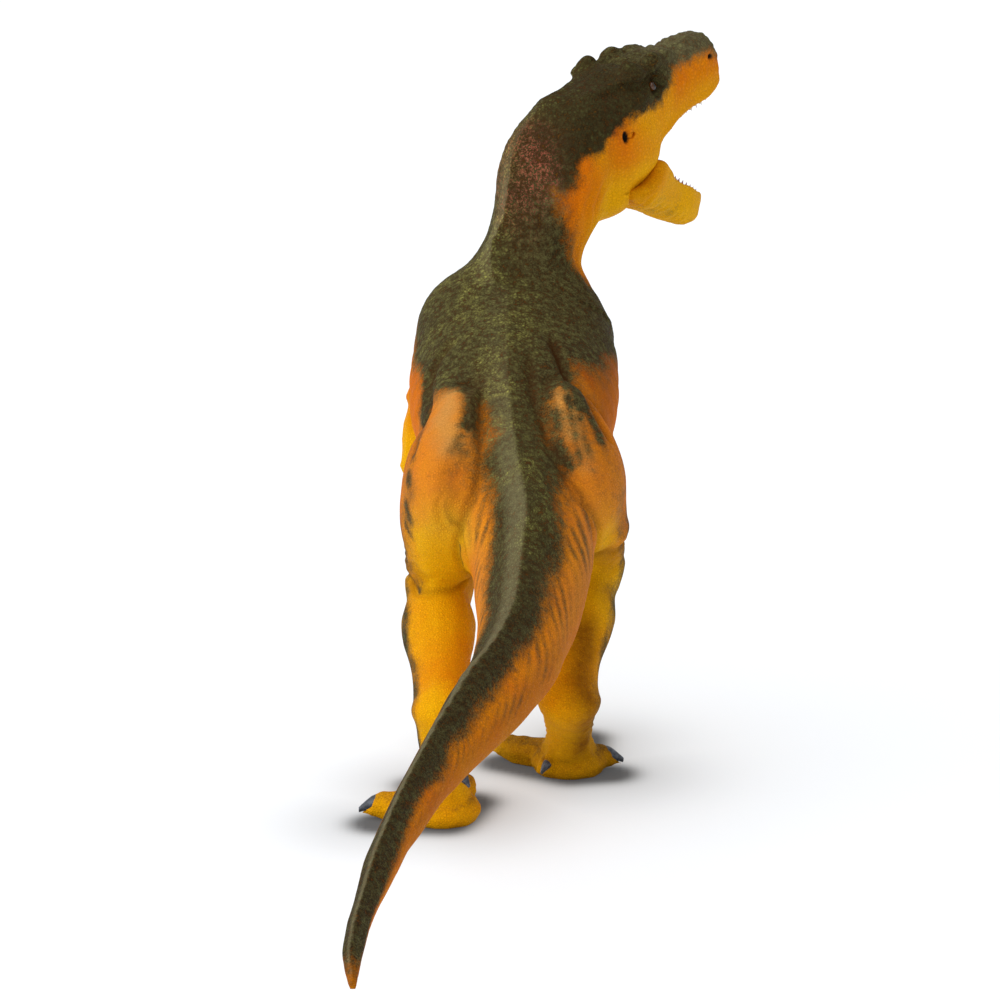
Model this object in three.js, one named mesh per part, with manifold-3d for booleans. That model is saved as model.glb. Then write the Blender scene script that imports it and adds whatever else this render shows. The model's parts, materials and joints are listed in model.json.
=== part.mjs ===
// A hand-painted vinyl figure of a large two-legged meat-eating dinosaur, walking with its head turned and its
// mouth open. Millimetres, +Z up. The animal faces +Y and its right side is +X. The ground is z = 0.
import * as THREE from "three";
import { mergeVertices } from "three/addons/utils/BufferGeometryUtils.js";
import Module from "manifold-3d";

const wasm = await Module();
wasm.setup();

// Fits between pieces
const seamGap = 0.32;
const socketGap = 0.3;
const jawGap = 0.45;
const skinWall = 3;
const cutOverrun = 60;

// Trunk: the body shell between the tail seam and the neck seam
const hipHeight = 72;
const hipForward = 8;
const trunkLength = 100;
const trunkWidth = 51;
const trunkDepth = 52;

// Tail and neck
const tailLength = 165;
const tailWidth = 29;
const tailDepth = 38;
const neckLength = 50;
const neckWidth = 25;
const neckDepth = 27;

// Plugs that are glued into the trunk
const tailPlug = { radius: 6, length: 9 };
const neckPlug = { radius: 6, length: 9 };
const neckSpigot = { radius: 4.2, length: 6 };
const hipPlug = { radius: 5, length: 6.5 };
const armPlug = { radius: 2.4, length: 6 };

// Legs
const legHeight = 74;
const thighWidth = 24;
const thighDepth = 46;
const shankWidth = 18;
const shankDepth = 21;
const ankleWidth = 13.6;
const hipSeatHalfWidth = 8.4;
const hipSeatFloor = 40;
const footLength = 27;
const toeWidth = 8.6;
const clawLength = 5.4;
const solePadHeight = 9;

// Arms
const armLength = 27;
const armWidth = 8;

// Head, in its own frame: the jaw hinge is the origin, +X its right side, +Y the snout, +Z the skull roof
const headHeadingAngle = 43;
const headPitchAngle = 14;
const headHinge = { right: 24.5, forward: 94, high: 138.3 };
const headLength = 50;
const headWidth = 24;
const headDepth = 22;
const cheekRadius = 8.6;
const mouthBackAngle = 112;
const heelClearAngle = 3.5;
const knuckleWidth = 12.4;
const knuckleRadius = 6.5;
const hingePin = { radius: 1.1, length: 18.6 };

// Lower jaw, in its own frame: the hinge is the origin and +Y runs along the jaw
const jawGapeAngle = 42;
const jawLength = 38;
const jawWidth = 22;
const jawDepth = 15;

// Mouth inlays and teeth
const inlayMargin = 1.7;
const inlayThickness = 2;
const toothLength = 2.3;
const toothRadius = 0.62;
const backToothShare = 0.5;
const upperTeethASide = 12;
const lowerTeethASide = 11;

// Faces around each kind of loft
const sides = { trunk: 24, neck: 18, tail: 14, leg: 12, toe: 8, arm: 8, head: 20, jaw: 16, rod: 14, disc: 28, tooth: 4 };
const rings = { trunk: 17, cavity: 8, neck: 10, tail: 18, thigh: 8, shank: 6, bone: 4, toe: 5, head: 18, jaw: 11 };

const ahead = new THREE.Vector3(0, 1, 0);
const right = new THREE.Vector3(1, 0, 0);
const roof = new THREE.Vector3(0, 0, 1);
const down = new THREE.Vector3(0, 0, -1);

const colours = {
  back: 0x4b5238,
  leg: 0xd09a20,
  throat: 0xc99a1e,
  gum: 0xa8584a,
  steel: 0xb9bcc0,
};

function finish(color, metalness = 0) {
  return new THREE.MeshStandardMaterial({ color, metalness, roughness: metalness ? 0.35 : 0.62 });
}

// A closed skin over rings of points, with a fan at each end.
function skinOver(rings) {
  const around = rings[0].length;
  const points = rings.flat();
  const faces = [];
  for (let i = 0; i + 1 < rings.length; i++)
    for (let j = 0; j < around; j++) {
      const a = i * around + j;
      const b = i * around + ((j + 1) % around);
      faces.push(a, b + around, b, a, a + around, b + around);
    }
  for (const [ring, turned] of [[0, false], [rings.length - 1, true]]) {
    const middle = new THREE.Vector3();
    for (const p of rings[ring]) middle.addScaledVector(p, 1 / around);
    points.push(middle);
    for (let j = 0; j < around; j++) {
      const a = ring * around + j;
      const b = ring * around + ((j + 1) % around);
      faces.push(points.length - 1, turned ? b : a, turned ? a : b);
    }
  }
  const skin = new THREE.BufferGeometry().setFromPoints(points);
  return skin.setIndex(faces);
}

function solidOf(geometry) {
  const bare = geometry.clone();
  bare.deleteAttribute("normal");
  bare.deleteAttribute("uv");
  const merged = mergeVertices(bare);
  return new wasm.Manifold(new wasm.Mesh({
    numProp: 3,
    vertProperties: merged.attributes.position.array,
    triVerts: new Uint32Array(merged.index.array),
  }));
}

function geometryOf(solid) {
  const mesh = solid.getMesh();
  const geometry = new THREE.BufferGeometry();
  geometry.setAttribute("position", new THREE.BufferAttribute(new Float32Array(mesh.vertProperties), 3));
  geometry.setIndex(new THREE.BufferAttribute(new Uint32Array(mesh.triVerts), 1));
  geometry.computeVertexNormals();
  return geometry;
}

function joined(solids) {
  return solids.reduce((whole, next) => whole.add(next));
}

// A value at a place between the rows of a table, on a smooth curve through them.
function between(rows, column, place) {
  const last = rows.length - 1;
  const row = Math.min(Math.floor(place), last - 1);
  const t = place - row;
  const [a, b, c, d] = [-1, 0, 1, 2].map((k) => rows[THREE.MathUtils.clamp(row + k, 0, last)][column]);
  return b + 0.5 * t * (c - a + t * (2 * a - 5 * b + 4 * c - d + t * (3 * (b - c) + d - a)));
}

// An oval ring across a path. Powers under 2 draw the oval to a ridge, and powers over 2 square it.
function ovalRing({ at, along, side, wide, high, low, ridge = 2, belly = 2, around }) {
  const up = new THREE.Vector3().crossVectors(side, along).normalize();
  const across = new THREE.Vector3().crossVectors(along, up).normalize();
  return Array.from({ length: around }, (_, j) => {
    const turn = (j / around) * 2 * Math.PI;
    const [c, s] = [Math.cos(turn), Math.sin(turn)];
    const power = 2 / (s > 0 ? ridge : belly);
    const x = wide * Math.sign(c) * Math.abs(c) ** power;
    const z = (s > 0 ? high : low) * Math.sign(s) * Math.abs(s) ** power;
    return at.clone().addScaledVector(across, x).addScaledVector(up, z);
  });
}

// A loft along a smooth path: each row gives a point and the half sizes of the section there. The sections
// stand square to the path, or all of them to one way.
function loft(rows, { side = right, way, around, steps, from = 0, to = rows.length - 1, grow = 0, trim = 0 }) {
  const path = new THREE.CatmullRomCurve3(rows.map((row) => row.point));
  const last = rows.length - 1;
  const made = [];
  for (let i = 0; i <= steps; i++) {
    const place = from + ((to - from) * i) / steps;
    const at = path.getPoint(place / last);
    const along = way ?? path.getTangent(place / last);
    const end = i === 0 ? 1 : i === steps ? -1 : 0;
    at.addScaledVector(along, end * (trim - grow));
    const size = (column) => between(rows, column, place) + grow;
    const power = (column) => (rows[0][column] ? between(rows, column, place) : 2);
    made.push(ovalRing({
      at, along, side, around,
      wide: size("wide"), high: size("high"), low: size("low"),
      ridge: power("ridge"), belly: power("belly"),
    }));
  }
  return solidOf(skinOver(made));
}

function rod(start, end, radius, around = sides.rod) {
  const axis = new THREE.Vector3().subVectors(end, start);
  const cylinder = new THREE.CylinderGeometry(radius, radius, axis.length(), around);
  cylinder.applyQuaternion(new THREE.Quaternion().setFromUnitVectors(ahead, axis.clone().normalize()));
  cylinder.translate(...start.clone().add(end).multiplyScalar(0.5).toArray());
  return solidOf(cylinder);
}

function cone(base, tip, radius, around = sides.tooth) {
  const axis = new THREE.Vector3().subVectors(tip, base);
  const shape = new THREE.ConeGeometry(radius, axis.length(), around);
  shape.applyQuaternion(new THREE.Quaternion().setFromUnitVectors(ahead, axis.clone().normalize()));
  shape.translate(...base.clone().add(tip).multiplyScalar(0.5).toArray());
  return solidOf(shape);
}

function block(low, high) {
  const size = new THREE.Vector3().subVectors(high, low);
  const box = new THREE.BoxGeometry(...size.toArray());
  box.translate(...low.clone().add(high).multiplyScalar(0.5).toArray());
  return solidOf(box);
}

function egg(at, radii, around = 10) {
  const ball = new THREE.SphereGeometry(1, around, Math.round(around * 0.7));
  ball.scale(radii.x, radii.y, radii.z);
  ball.translate(at.x, at.y, at.z);
  return solidOf(ball);
}

// The spine: one smooth body from the tail tip to the head, cut into tail, trunk and neck at its seams.
const spineRoot = new THREE.Vector3(0, hipForward, hipHeight);

// Each row: right, forward and up from where the stretch starts, as shares of its length, then the half
// width and the heights above and below the middle line, as shares of its width and depth, then the power
// of its back: under 2 is a ridge and over 2 is broad.
const tailShares = [
  [-0.219, -0.941, -0.252, 0.03, 0.028, 0.028, 1.8],
  [-0.221, -0.885, -0.233, 0.062, 0.06, 0.06, 1.8],
  [-0.206, -0.776, -0.203, 0.095, 0.1, 0.09, 1.7],
  [-0.179, -0.655, -0.17, 0.13, 0.14, 0.125, 1.7],
  [-0.134, -0.503, -0.141, 0.18, 0.2, 0.17, 1.65],
  [-0.097, -0.4, -0.121, 0.225, 0.245, 0.21, 1.65],
  [-0.045, -0.273, -0.094, 0.29, 0.3, 0.27, 1.6],
  [-0.018, -0.182, -0.073, 0.345, 0.345, 0.32, 1.6],
  [-0.005, -0.061, -0.03, 0.44, 0.42, 0.41, 1.65],
];
const trunkShares = [
  [0.045, -0.2, -0.1, 0.275, 0.345, 0.35, 1.7],
  [0.02, 0, 0, 0.35, 0.315, 0.44, 1.75],
  [0.005, 0.2, 0.08, 0.44, 0.325, 0.5, 1.85],
  [0.004, 0.38, 0.14, 0.495, 0.36, 0.53, 2],
  [0.006, 0.54, 0.185, 0.5, 0.375, 0.5, 2.15],
  [0.008, 0.665, 0.255, 0.475, 0.355, 0.44, 2.2],
];
const neckShares = [
  [0, 0, 0, 0.78, 0.57, 0.62, 2.1],
  [0.04, 0.07, 0.2, 0.51, 0.48, 0.54, 2],
  [0.12, 0.08, 0.42, 0.52, 0.46, 0.5, 2],
  [0.18, 0.1, 0.62, 0.57, 0.47, 0.5, 2],
  [0.28, 0.17, 0.8, 0.49, 0.43, 0.42, 2],
  [0.43, 0.29, 0.9, 0.3, 0.25, 0.25, 2],
];
const neckStartShares = [0.026, 0.72, 0.34];
const bellyPower = 2.1;

function stretchRows(shares, start, length, width, depth) {
  return shares.map(([x, y, z, wide, high, low, ridge]) => ({
    point: new THREE.Vector3(x, y, z).multiplyScalar(length).add(start),
    wide: wide * width,
    high: high * depth,
    low: low * depth,
    ridge,
    belly: bellyPower,
  }));
}

const [tailRight, tailForward, tailUp] = trunkShares[0];
const tailStart = new THREE.Vector3(tailRight, tailForward, tailUp).multiplyScalar(trunkLength).add(spineRoot);
const neckStart = new THREE.Vector3(...neckStartShares).multiplyScalar(trunkLength).add(spineRoot);
const spineRows = [
  ...stretchRows(tailShares, tailStart, tailLength, tailWidth, tailDepth),
  ...stretchRows(trunkShares, spineRoot, trunkLength, trunkWidth, trunkDepth),
  ...stretchRows(neckShares, neckStart, neckLength, neckWidth, neckDepth),
];
const tailSeam = tailShares.length;
const neckSeam = tailShares.length + trunkShares.length;
const spinePath = new THREE.CatmullRomCurve3(spineRows.map((row) => row.point));

function onSpine(place) {
  const share = place / (spineRows.length - 1);
  return { at: spinePath.getPoint(share), along: spinePath.getTangent(share) };
}

function spineStretch(from, to, around, steps, options = {}) {
  return loft(spineRows, { from, to, around, steps, ...options });
}

// A glued plug: a rod from inside its own piece out through the seam.
function plugAt(place, way, { radius, length }, clearance = 0) {
  const { at, along } = onSpine(place);
  const start = at.clone().addScaledVector(along, -way * length);
  const end = at.clone().addScaledVector(along, way * (length + clearance));
  return rod(start, end, radius + clearance);
}

// Legs: each side has its own pose, as shares of the leg's height, in a walking step.
const legPoses = {
  left: {
    sideShare: -1,
    crest: [0.135, 0.26, 1.3], hip: [0.19, 0.17, 1.02], knee: [0.228, 0.23, 0.7],
    kneeTip: [0.236, 0.24, 0.62], calf: [0.236, 0.02, 0.53], ankle: [0.215, -0.26, 0.39],
    ball: [0.225, -0.19, 0.08], spurShares: [-0.38, -0.38, 0.46],
    toes: [{ turn: 86, share: 0.56 }, { turn: 10, share: 1.05 }, { turn: -20, share: 0.62 }],
  },
  right: {
    sideShare: 1,
    crest: [0.15, 0.28, 1.3], hip: [0.2, 0.19, 1.02], knee: [0.25, 0.36, 0.72],
    kneeTip: [0.25, 0.38, 0.64], calf: [0.2, 0.2, 0.5], ankle: [0.18, 0.02, 0.33],
    ball: [0.185, 0.28, 0.075], spurShares: [-0.43, -0.48, -0.14],
    toes: [{ turn: 78, share: 0.34 }, { turn: 6, share: 1.05 }, { turn: -58, share: 0.68 }],
  },
};

// Half width, front and back of each leg section, as shares of its own width and depth.
const thighShares = [[0.2, 0.12, 0.12], [0.44, 0.36, 0.34], [0.5, 0.48, 0.46], [0.46, 0.4, 0.4], [0.34, 0.22, 0.25]];
const shankShares = [[0.36, 0.38, 0.36], [0.5, 0.46, 0.5], [0.42, 0.34, 0.4], [0.33, 0.28, 0.28]];
const footBoneShares = [[0.48, 0.46, 0.5], [0.46, 0.42, 0.44], [0.47, 0.44, 0.46], [0.5, 0.5, 0.5]];
const toeShares = [[0.4, 0.46, 0.7], [0.52, 0.5, 0.6], [0.42, 0.36, 0.5], [0.46, 0.4, 0.5], [0.26, 0.26, 0.3]];

function legPoint([out, forward, up], side) {
  return new THREE.Vector3(side * out, forward, up).multiplyScalar(legHeight);
}

function evenly(points, shares, width, depth) {
  const path = new THREE.CatmullRomCurve3(points);
  return shares.map(([wide, high, low], i) => ({
    point: path.getPoint(i / (shares.length - 1)),
    wide: wide * width,
    high: high * depth,
    low: low * depth,
  }));
}

function toe(ball, turn, length, grow) {
  const heading = THREE.MathUtils.degToRad(turn);
  const way = new THREE.Vector3(Math.sin(heading), Math.cos(heading), 0);
  const across = new THREE.Vector3(way.y, -way.x, 0);
  const height = solePadHeight;
  const start = ball.clone().setZ(height * 0.5);
  const end = start.clone().addScaledVector(way, length).setZ(height * 0.3);
  const rows = evenly([start, start.clone().lerp(end, 0.5), end], toeShares, toeWidth, height);
  const flesh = loft(rows, { side: across, around: sides.toe, steps: rings.toe, grow });
  const clawBase = end.clone().addScaledVector(way, -toeWidth * 0.12);
  const clawTip = clawBase.clone().addScaledVector(way, clawLength).setZ(height * 0.1);
  return flesh.add(cone(clawBase, clawTip, toeWidth * 0.24 + grow, 6));
}

// The small inner toe that hangs beside the foot bone, placed in ankle widths from the ball of the foot.
function spurToe(ball, { sideShare: side, spurShares: [inward, forward, up] }, grow) {
  const at = new THREE.Vector3(side * inward, forward, up).multiplyScalar(ankleWidth).add(ball);
  const flesh = egg(at, new THREE.Vector3(1, 1, 1.2).multiplyScalar(toeWidth * 0.24 + grow), 6);
  const tip = at.clone().add(new THREE.Vector3(-side * 0.5, -0.2, -0.35).multiplyScalar(clawLength));
  return flesh.add(cone(at, tip, toeWidth * 0.2, 6));
}

function legBody(pose, grow = 0) {
  const at = (name) => legPoint(pose[name], pose.sideShare);
  const thighRows = evenly([at("crest"), at("hip"), at("knee")], thighShares, thighWidth, thighDepth);
  const shankRows = evenly([at("kneeTip"), at("calf"), at("ankle")], shankShares, shankWidth, shankDepth);
  const boneRows = evenly([at("ankle"), at("ball")], footBoneShares, ankleWidth, ankleWidth);
  const ball = at("ball");
  const toes = pose.toes.map(({ turn, share }) =>
    toe(ball, pose.sideShare * turn, footLength * share, grow));
  const around = sides.leg;
  const knee = egg(at("knee").lerp(at("kneeTip"), 0.5),
    new THREE.Vector3(shankWidth * 0.5 + grow, shankDepth * 0.5 + grow, shankDepth * 0.52 + grow));
  const heel = egg(ball.clone().setZ(solePadHeight * 0.3),
    new THREE.Vector3(ankleWidth * 0.7 + grow, ankleWidth * 0.6 + grow, solePadHeight * 0.58 + grow));
  return joined([
    loft(thighRows, { way: down, around: around + 4, steps: rings.thigh, grow }),
    knee,
    loft(shankRows, { around, steps: rings.shank, grow }),
    egg(at("ankle"), new THREE.Vector3(1, 1.05, 1.1).multiplyScalar(ankleWidth * 0.5 + grow)),
    loft(boneRows, { around: around - 2, steps: rings.bone, grow }),
    heel,
    spurToe(ball, pose, grow),
    ...toes,
  ]);
}

// What lies on the body side of a leg's flat seat, to cut away, and what lies under the ground.
function insideSeat(side, seat) {
  const far = cutOverrun * 4;
  const low = new THREE.Vector3(side > 0 ? -far : -seat, -far, hipSeatFloor);
  const high = new THREE.Vector3(side > 0 ? seat : far, far, far);
  return block(low, high);
}

function underGround() {
  const far = cutOverrun * 4;
  return block(new THREE.Vector3(-far, -far, -far), new THREE.Vector3(far, far, 0));
}

function hipRod(pose, clearance = 0) {
  const hip = legPoint(pose.hip, pose.sideShare);
  const start = hip.clone().setX(pose.sideShare * (hipSeatHalfWidth + hipPlug.length * 0.6));
  const end = hip.clone().setX(pose.sideShare * (hipSeatHalfWidth - hipPlug.length - clearance));
  return rod(start, end, hipPlug.radius + clearance);
}

function legSolid(pose, grow = 0, seat = hipSeatHalfWidth) {
  return legBody(pose, grow).subtract(insideSeat(pose.sideShare, seat - grow));
}

// Arms: shoulder, elbow, wrist and finger roots, as shares of the arm's length.
const armPoses = {
  left: { sideShare: -1, shoulder: [0.81, 2.42, 3.06], elbow: [0.89, 2.06, 2.5], wrist: [0.8, 2.52, 2.2] },
  right: { sideShare: 1, shoulder: [0.81, 2.42, 3.06], elbow: [0.77, 2.12, 2.54], wrist: [0.74, 2.6, 2.26] },
};
const upperArmShares = [[0.42, 0.6, 0.6], [0.5, 0.62, 0.62], [0.42, 0.48, 0.46]];
const foreArmShares = [[0.4, 0.44, 0.44], [0.36, 0.4, 0.4], [0.26, 0.28, 0.28]];

function armPoint([out, forward, up], side) {
  return new THREE.Vector3(side * out, forward, up).multiplyScalar(armLength);
}

function armBody(pose) {
  const at = (name) => armPoint(pose[name], pose.sideShare);
  const upper = evenly([at("shoulder"), at("elbow")], upperArmShares, armWidth, armWidth);
  const fore = evenly([at("elbow"), at("wrist")], foreArmShares, armWidth, armWidth);
  const wrist = at("wrist");
  const fingers = [-0.5, 0.5].map((spread) => {
    const root = wrist.clone().add(new THREE.Vector3(spread * armWidth * 0.28, 0, 0));
    const knuckle = root.clone().add(new THREE.Vector3(spread * 0.1, 0.16, -0.12).multiplyScalar(armLength));
    const tip = knuckle.clone().add(new THREE.Vector3(0, 0.07, -0.12).multiplyScalar(armLength));
    return rod(root, knuckle, armWidth * 0.14, sides.toe).add(cone(knuckle, tip, armWidth * 0.14, 6))
      .add(egg(knuckle, new THREE.Vector3(1, 1, 1).multiplyScalar(armWidth * 0.15), 6));
  });
  const ball = (name, share) => egg(at(name), new THREE.Vector3(1, 1, 1).multiplyScalar(armWidth * share), 8);
  return joined([
    loft(upper, { around: sides.arm, steps: 5 }),
    loft(fore, { around: sides.arm, steps: 4 }),
    ball("shoulder", 0.56), ball("elbow", 0.46), ball("wrist", 0.3),
    ...fingers,
  ]);
}

function armRod(pose, clearance = 0) {
  const shoulder = armPoint(pose.shoulder, pose.sideShare);
  const inner = shoulder.clone().setX(shoulder.x - pose.sideShare * (armPlug.length + clearance));
  const outer = shoulder.clone().setX(shoulder.x + pose.sideShare * armWidth * 0.4);
  return rod(outer, inner, armPlug.radius + clearance, sides.arm);
}

// Head sections: how far along the snout, the half width, the roof and the underside, as shares.
const headShares = [
  [-0.27, 0.2, 0.72, 0.1], [-0.22, 0.38, 0.88, -0.2], [-0.12, 0.48, 1.0, -0.4], [0.02, 0.5, 1.03, -0.45],
  [0.16, 0.46, 1.0, -0.42], [0.3, 0.38, 0.98, -0.3], [0.45, 0.33, 0.97, -0.2], [0.58, 0.31, 0.94, -0.15],
  [0.7, 0.28, 0.9, -0.09], [0.785, 0.23, 0.85, 0.03], [0.835, 0.13, 0.71, 0.2],
];
const upperLipShares = [[0.172, 0.02], [0.24, 0.07], [0.36, 0.15], [0.5, 0.19], [0.64, 0.18], [0.74, 0.22], [0.95, 0.3]];

// The fold of the throat: its middle and its half sizes.
const throatShares = { middle: [0, -0.09, -0.39], size: [0.34, 0.235, 0.265] };

const jawShares = [
  [-0.05, 0.4, 0.5, -0.62], [0.12, 0.47, 0.5, -0.7], [0.28, 0.44, 0.42, -0.66], [0.45, 0.37, 0.36, -0.6],
  [0.62, 0.32, 0.34, -0.54], [0.78, 0.28, 0.34, -0.5], [0.9, 0.22, 0.3, -0.42], [0.97, 0.13, 0.2, -0.26],
];
const jawLipShares = [
  [-0.3, 0.05], [0.19, 0.1], [0.235, 0.12], [0.28, 0.14], [0.42, 0.14], [0.6, 0.15], [0.8, 0.2], [0.92, 0.22],
  [1.1, 0.22],
];

// Where each mouth inlay starts and ends along its jaw
const upperInlayShares = [0.23, 0.8];
const lowerInlayShares = [0.27, 0.92];

function skullRows(shares, length, width, depth) {
  return shares.map(([along, wide, top, bottom]) => ({
    point: new THREE.Vector3(0, along * length, ((top + bottom) / 2) * depth),
    wide: wide * width,
    high: ((top - bottom) / 2) * depth,
    low: ((top - bottom) / 2) * depth,
  }));
}

// Head and jaw sections stand square to the snout, whatever way their middle line runs.
function snoutLoft(rows, around, steps, { wider = 0, taller = 0, longer = 0 } = {}) {
  const line = rows.map(({ point, ...half }) => ({ ...half, forward: point.y, level: point.z }));
  const made = [];
  for (let i = 0; i <= steps; i++) {
    const value = (column) => between(line, column, (i / steps) * (rows.length - 1));
    const end = i === 0 ? -longer : i === steps ? longer : 0;
    made.push(ovalRing({
      at: new THREE.Vector3(0, value("forward") + end, value("level")),
      along: ahead, side: right, around,
      wide: value("wide") + wider, high: value("high") + taller, low: value("low") + taller,
      ridge: 2.5, belly: 2.5,
    }));
  }
  return solidOf(skinOver(made));
}

function grown(by) {
  return { wider: by, taller: by, longer: by };
}

function halfWidthAt(rows, forward) {
  const next = Math.max(1, rows.findIndex((row) => row.point.y > forward));
  const [a, b] = [rows[next - 1], rows[next]];
  const share = (forward - a.point.y) / (b.point.y - a.point.y);
  return THREE.MathUtils.lerp(a.wide, b.wide, THREE.MathUtils.clamp(share, 0, 1));
}

// A plate drawn in the side view of the head, forward and up, and as wide as the head or as asked.
function sidePlate(outline, width) {
  const shape = new THREE.Shape(outline.map(([forward, up]) => new THREE.Vector2(forward, up)));
  const plate = new THREE.ExtrudeGeometry(shape, { depth: width, bevelEnabled: false });
  plate.translate(0, 0, -width / 2);
  plate.applyMatrix4(new THREE.Matrix4().makeBasis(ahead, roof, right));
  return solidOf(plate);
}

const headRows = skullRows(headShares, headLength, headWidth, headDepth);
const jawRows = skullRows(jawShares, jawLength, jawWidth, jawDepth);
const upperLip = upperLipShares.map(([forward, up]) => [forward * headLength, up * headDepth]);
const jawLip = jawLipShares.map(([forward, up]) => [forward * jawLength, up * jawDepth]);

// The arc that the jaw turns past, from the mouth's corner down and back round the hinge.
function cheekArc(radius, from, to, steps = 12) {
  return Array.from({ length: steps + 1 }, (_, i) => {
    const angle = THREE.MathUtils.degToRad(from + ((to - from) * i) / steps);
    return [radius * Math.cos(angle), radius * Math.sin(angle)];
  });
}

function mouthSpace() {
  const back = THREE.MathUtils.degToRad(-mouthBackAngle);
  const far = cutOverrun;
  return sidePlate([
    ...upperLip,
    [far, upperLip.at(-1)[1]], [far, -far], [far * Math.cos(back), far * Math.sin(back)],
    ...cheekArc(cheekRadius, -mouthBackAngle, 0),
  ], headWidth * 2);
}

function hingeDisc(radius, width) {
  const half = new THREE.Vector3(width / 2, 0, 0);
  return rod(half.clone().negate(), half, radius, sides.disc);
}

function mirrored(make) {
  return joined([-1, 1].map(make));
}

function browsAndEyes(grow = 0) {
  const bumps = [
    { at: [0.31, 0.1, 0.93], size: [0.13, 0.11, 0.11] },
    { at: [0.27, 0.26, 0.93], size: [0.1, 0.1, 0.1] },
    { at: [0.22, 0.39, 0.89], size: [0.09, 0.1, 0.1] },
    { at: [0.385, 0.25, 0.72], size: [0.07, 0.045, 0.08] },
    { at: [0.42, 0.02, 0.6], size: [0.11, 0.13, 0.2] },
  ];
  const place = ([across, along, up], side) =>
    new THREE.Vector3(side * across * headWidth, along * headLength, up * headDepth);
  return mirrored((side) => joined(bumps.map(({ at, size }) =>
    egg(place(at, side), place(size, 1).addScalar(grow), 7))));
}

function earsAndNostrils() {
  return mirrored((side) => {
    const ear = egg(new THREE.Vector3(side * headWidth * 0.47, -headLength * 0.06, headDepth * 0.36),
      new THREE.Vector3(headWidth * 0.09, headLength * 0.017, headDepth * 0.065), 8);
    const nostril = egg(new THREE.Vector3(side * headWidth * 0.25, headLength * 0.74, headDepth * 0.62),
      new THREE.Vector3(headWidth * 0.06, headLength * 0.025, headDepth * 0.035), 8);
    return ear.add(nostril);
  });
}

// The strip between a lip line and a second line inside the flesh, where an inlay sits.
function lipStrip(lip, near, far, start, end) {
  const inner = lip.map(([forward]) => forward).filter((forward) => forward > start && forward < end);
  const line = [start, ...inner, end].map((forward) => [forward, lipHeight(lip, forward)]);
  return sidePlate([
    ...line.map(([forward, up]) => [forward, up + near]),
    ...line.toReversed().map(([forward, up]) => [forward, up + far]),
  ], headWidth * 2);
}

function upperInlay(grow = 0) {
  const [start, end] = upperInlayShares;
  return snoutLoft(headRows, sides.head, rings.head, { wider: grow - inlayMargin }).intersect(
    lipStrip(upperLip, -grow, inlayThickness + grow, start * headLength - grow, end * headLength + grow));
}

function lowerInlay(grow = 0) {
  const [start, end] = lowerInlayShares;
  return snoutLoft(jawRows, sides.jaw, rings.jaw, { wider: grow - inlayMargin }).intersect(
    lipStrip(jawLip, -inlayThickness - grow, grow, start * jawLength - grow, end * jawLength + grow));
}

function lipHeight(lip, forward) {
  const next = Math.max(1, lip.findIndex(([at]) => at > forward));
  const [a, b] = [lip[next - 1], lip[next]];
  return THREE.MathUtils.lerp(a[1], b[1], (forward - a[0]) / (b[0] - a[0]));
}

// A row of teeth on each side, shorter towards the back of the mouth.
function teeth(rows, lip, count, way, { first, last, inset }) {
  return mirrored((side) => joined(Array.from({ length: count }, (_, i) => {
    const forward = THREE.MathUtils.lerp(first, last, i / (count - 1));
    const length = toothLength * THREE.MathUtils.lerp(backToothShare, 1, Math.min(1, (2 * i) / count));
    const across = side * Math.max(toothRadius, halfWidthAt(rows, forward) - inset);
    const level = lipHeight(lip, forward);
    const base = new THREE.Vector3(across, forward, level - way * inlayThickness * 0.5);
    const tip = new THREE.Vector3(across, forward, level + way * length);
    return cone(base, tip, toothRadius);
  })));
}

function tongue() {
  const middle = new THREE.Vector3(0, jawLength * 0.55, jawDepth * 0.12);
  return egg(middle, new THREE.Vector3(jawWidth * 0.15, jawLength * 0.24, inlayThickness * 0.9), 12);
}

// Frames of the head and of the jaw in the figure
const headGroup = new THREE.Group();
headGroup.position.set(headHinge.right, headHinge.forward, headHinge.high);
headGroup.rotation.order = "ZXY";
headGroup.rotation.z = -THREE.MathUtils.degToRad(headHeadingAngle);
headGroup.rotation.x = THREE.MathUtils.degToRad(headPitchAngle);
const jawGroup = new THREE.Group();
jawGroup.rotation.x = -THREE.MathUtils.degToRad(jawGapeAngle);
headGroup.add(jawGroup);
headGroup.updateMatrixWorld(true);

function placed(solid, matrix) {
  return solid.transform([...matrix.elements]);
}

const toHead = headGroup.matrixWorld.clone().invert();

// Neck, with the shape that the head leaves for it
const neckEnd = spineRows.length - 1;
const neckBody = spineStretch(neckSeam, neckEnd, sides.neck, rings.neck, { trim: seamGap / 2 });
const skullBody = snoutLoft(headRows, sides.head, rings.head).add(browsAndEyes());
const skullRoom = snoutLoft(headRows, sides.head, rings.head, grown(seamGap)).add(browsAndEyes(seamGap));

function neckSpigotRod(clearance = 0) {
  const start = onSpine(neckEnd - 2).at;
  const end = onSpine(neckEnd - 1).at.lerp(start, -clearance / neckLength);
  const reach = new THREE.Vector3().subVectors(end, start).normalize().multiplyScalar(neckSpigot.length + clearance);
  return rod(start, end.add(reach), neckSpigot.radius + clearance);
}

// The wedge behind the hinge that the head's throat fills while the mouth is open.
function behindJaw(grow) {
  const angle = THREE.MathUtils.degToRad(jawGapeAngle - mouthBackAngle + (grow ? -1 : 1) * heelClearAngle);
  const far = cutOverrun;
  return sidePlate([
    [0, 0], [-far, 0], [-far, -far], [far * Math.cos(angle), far * Math.sin(angle)],
  ], headWidth * 2);
}

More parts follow.
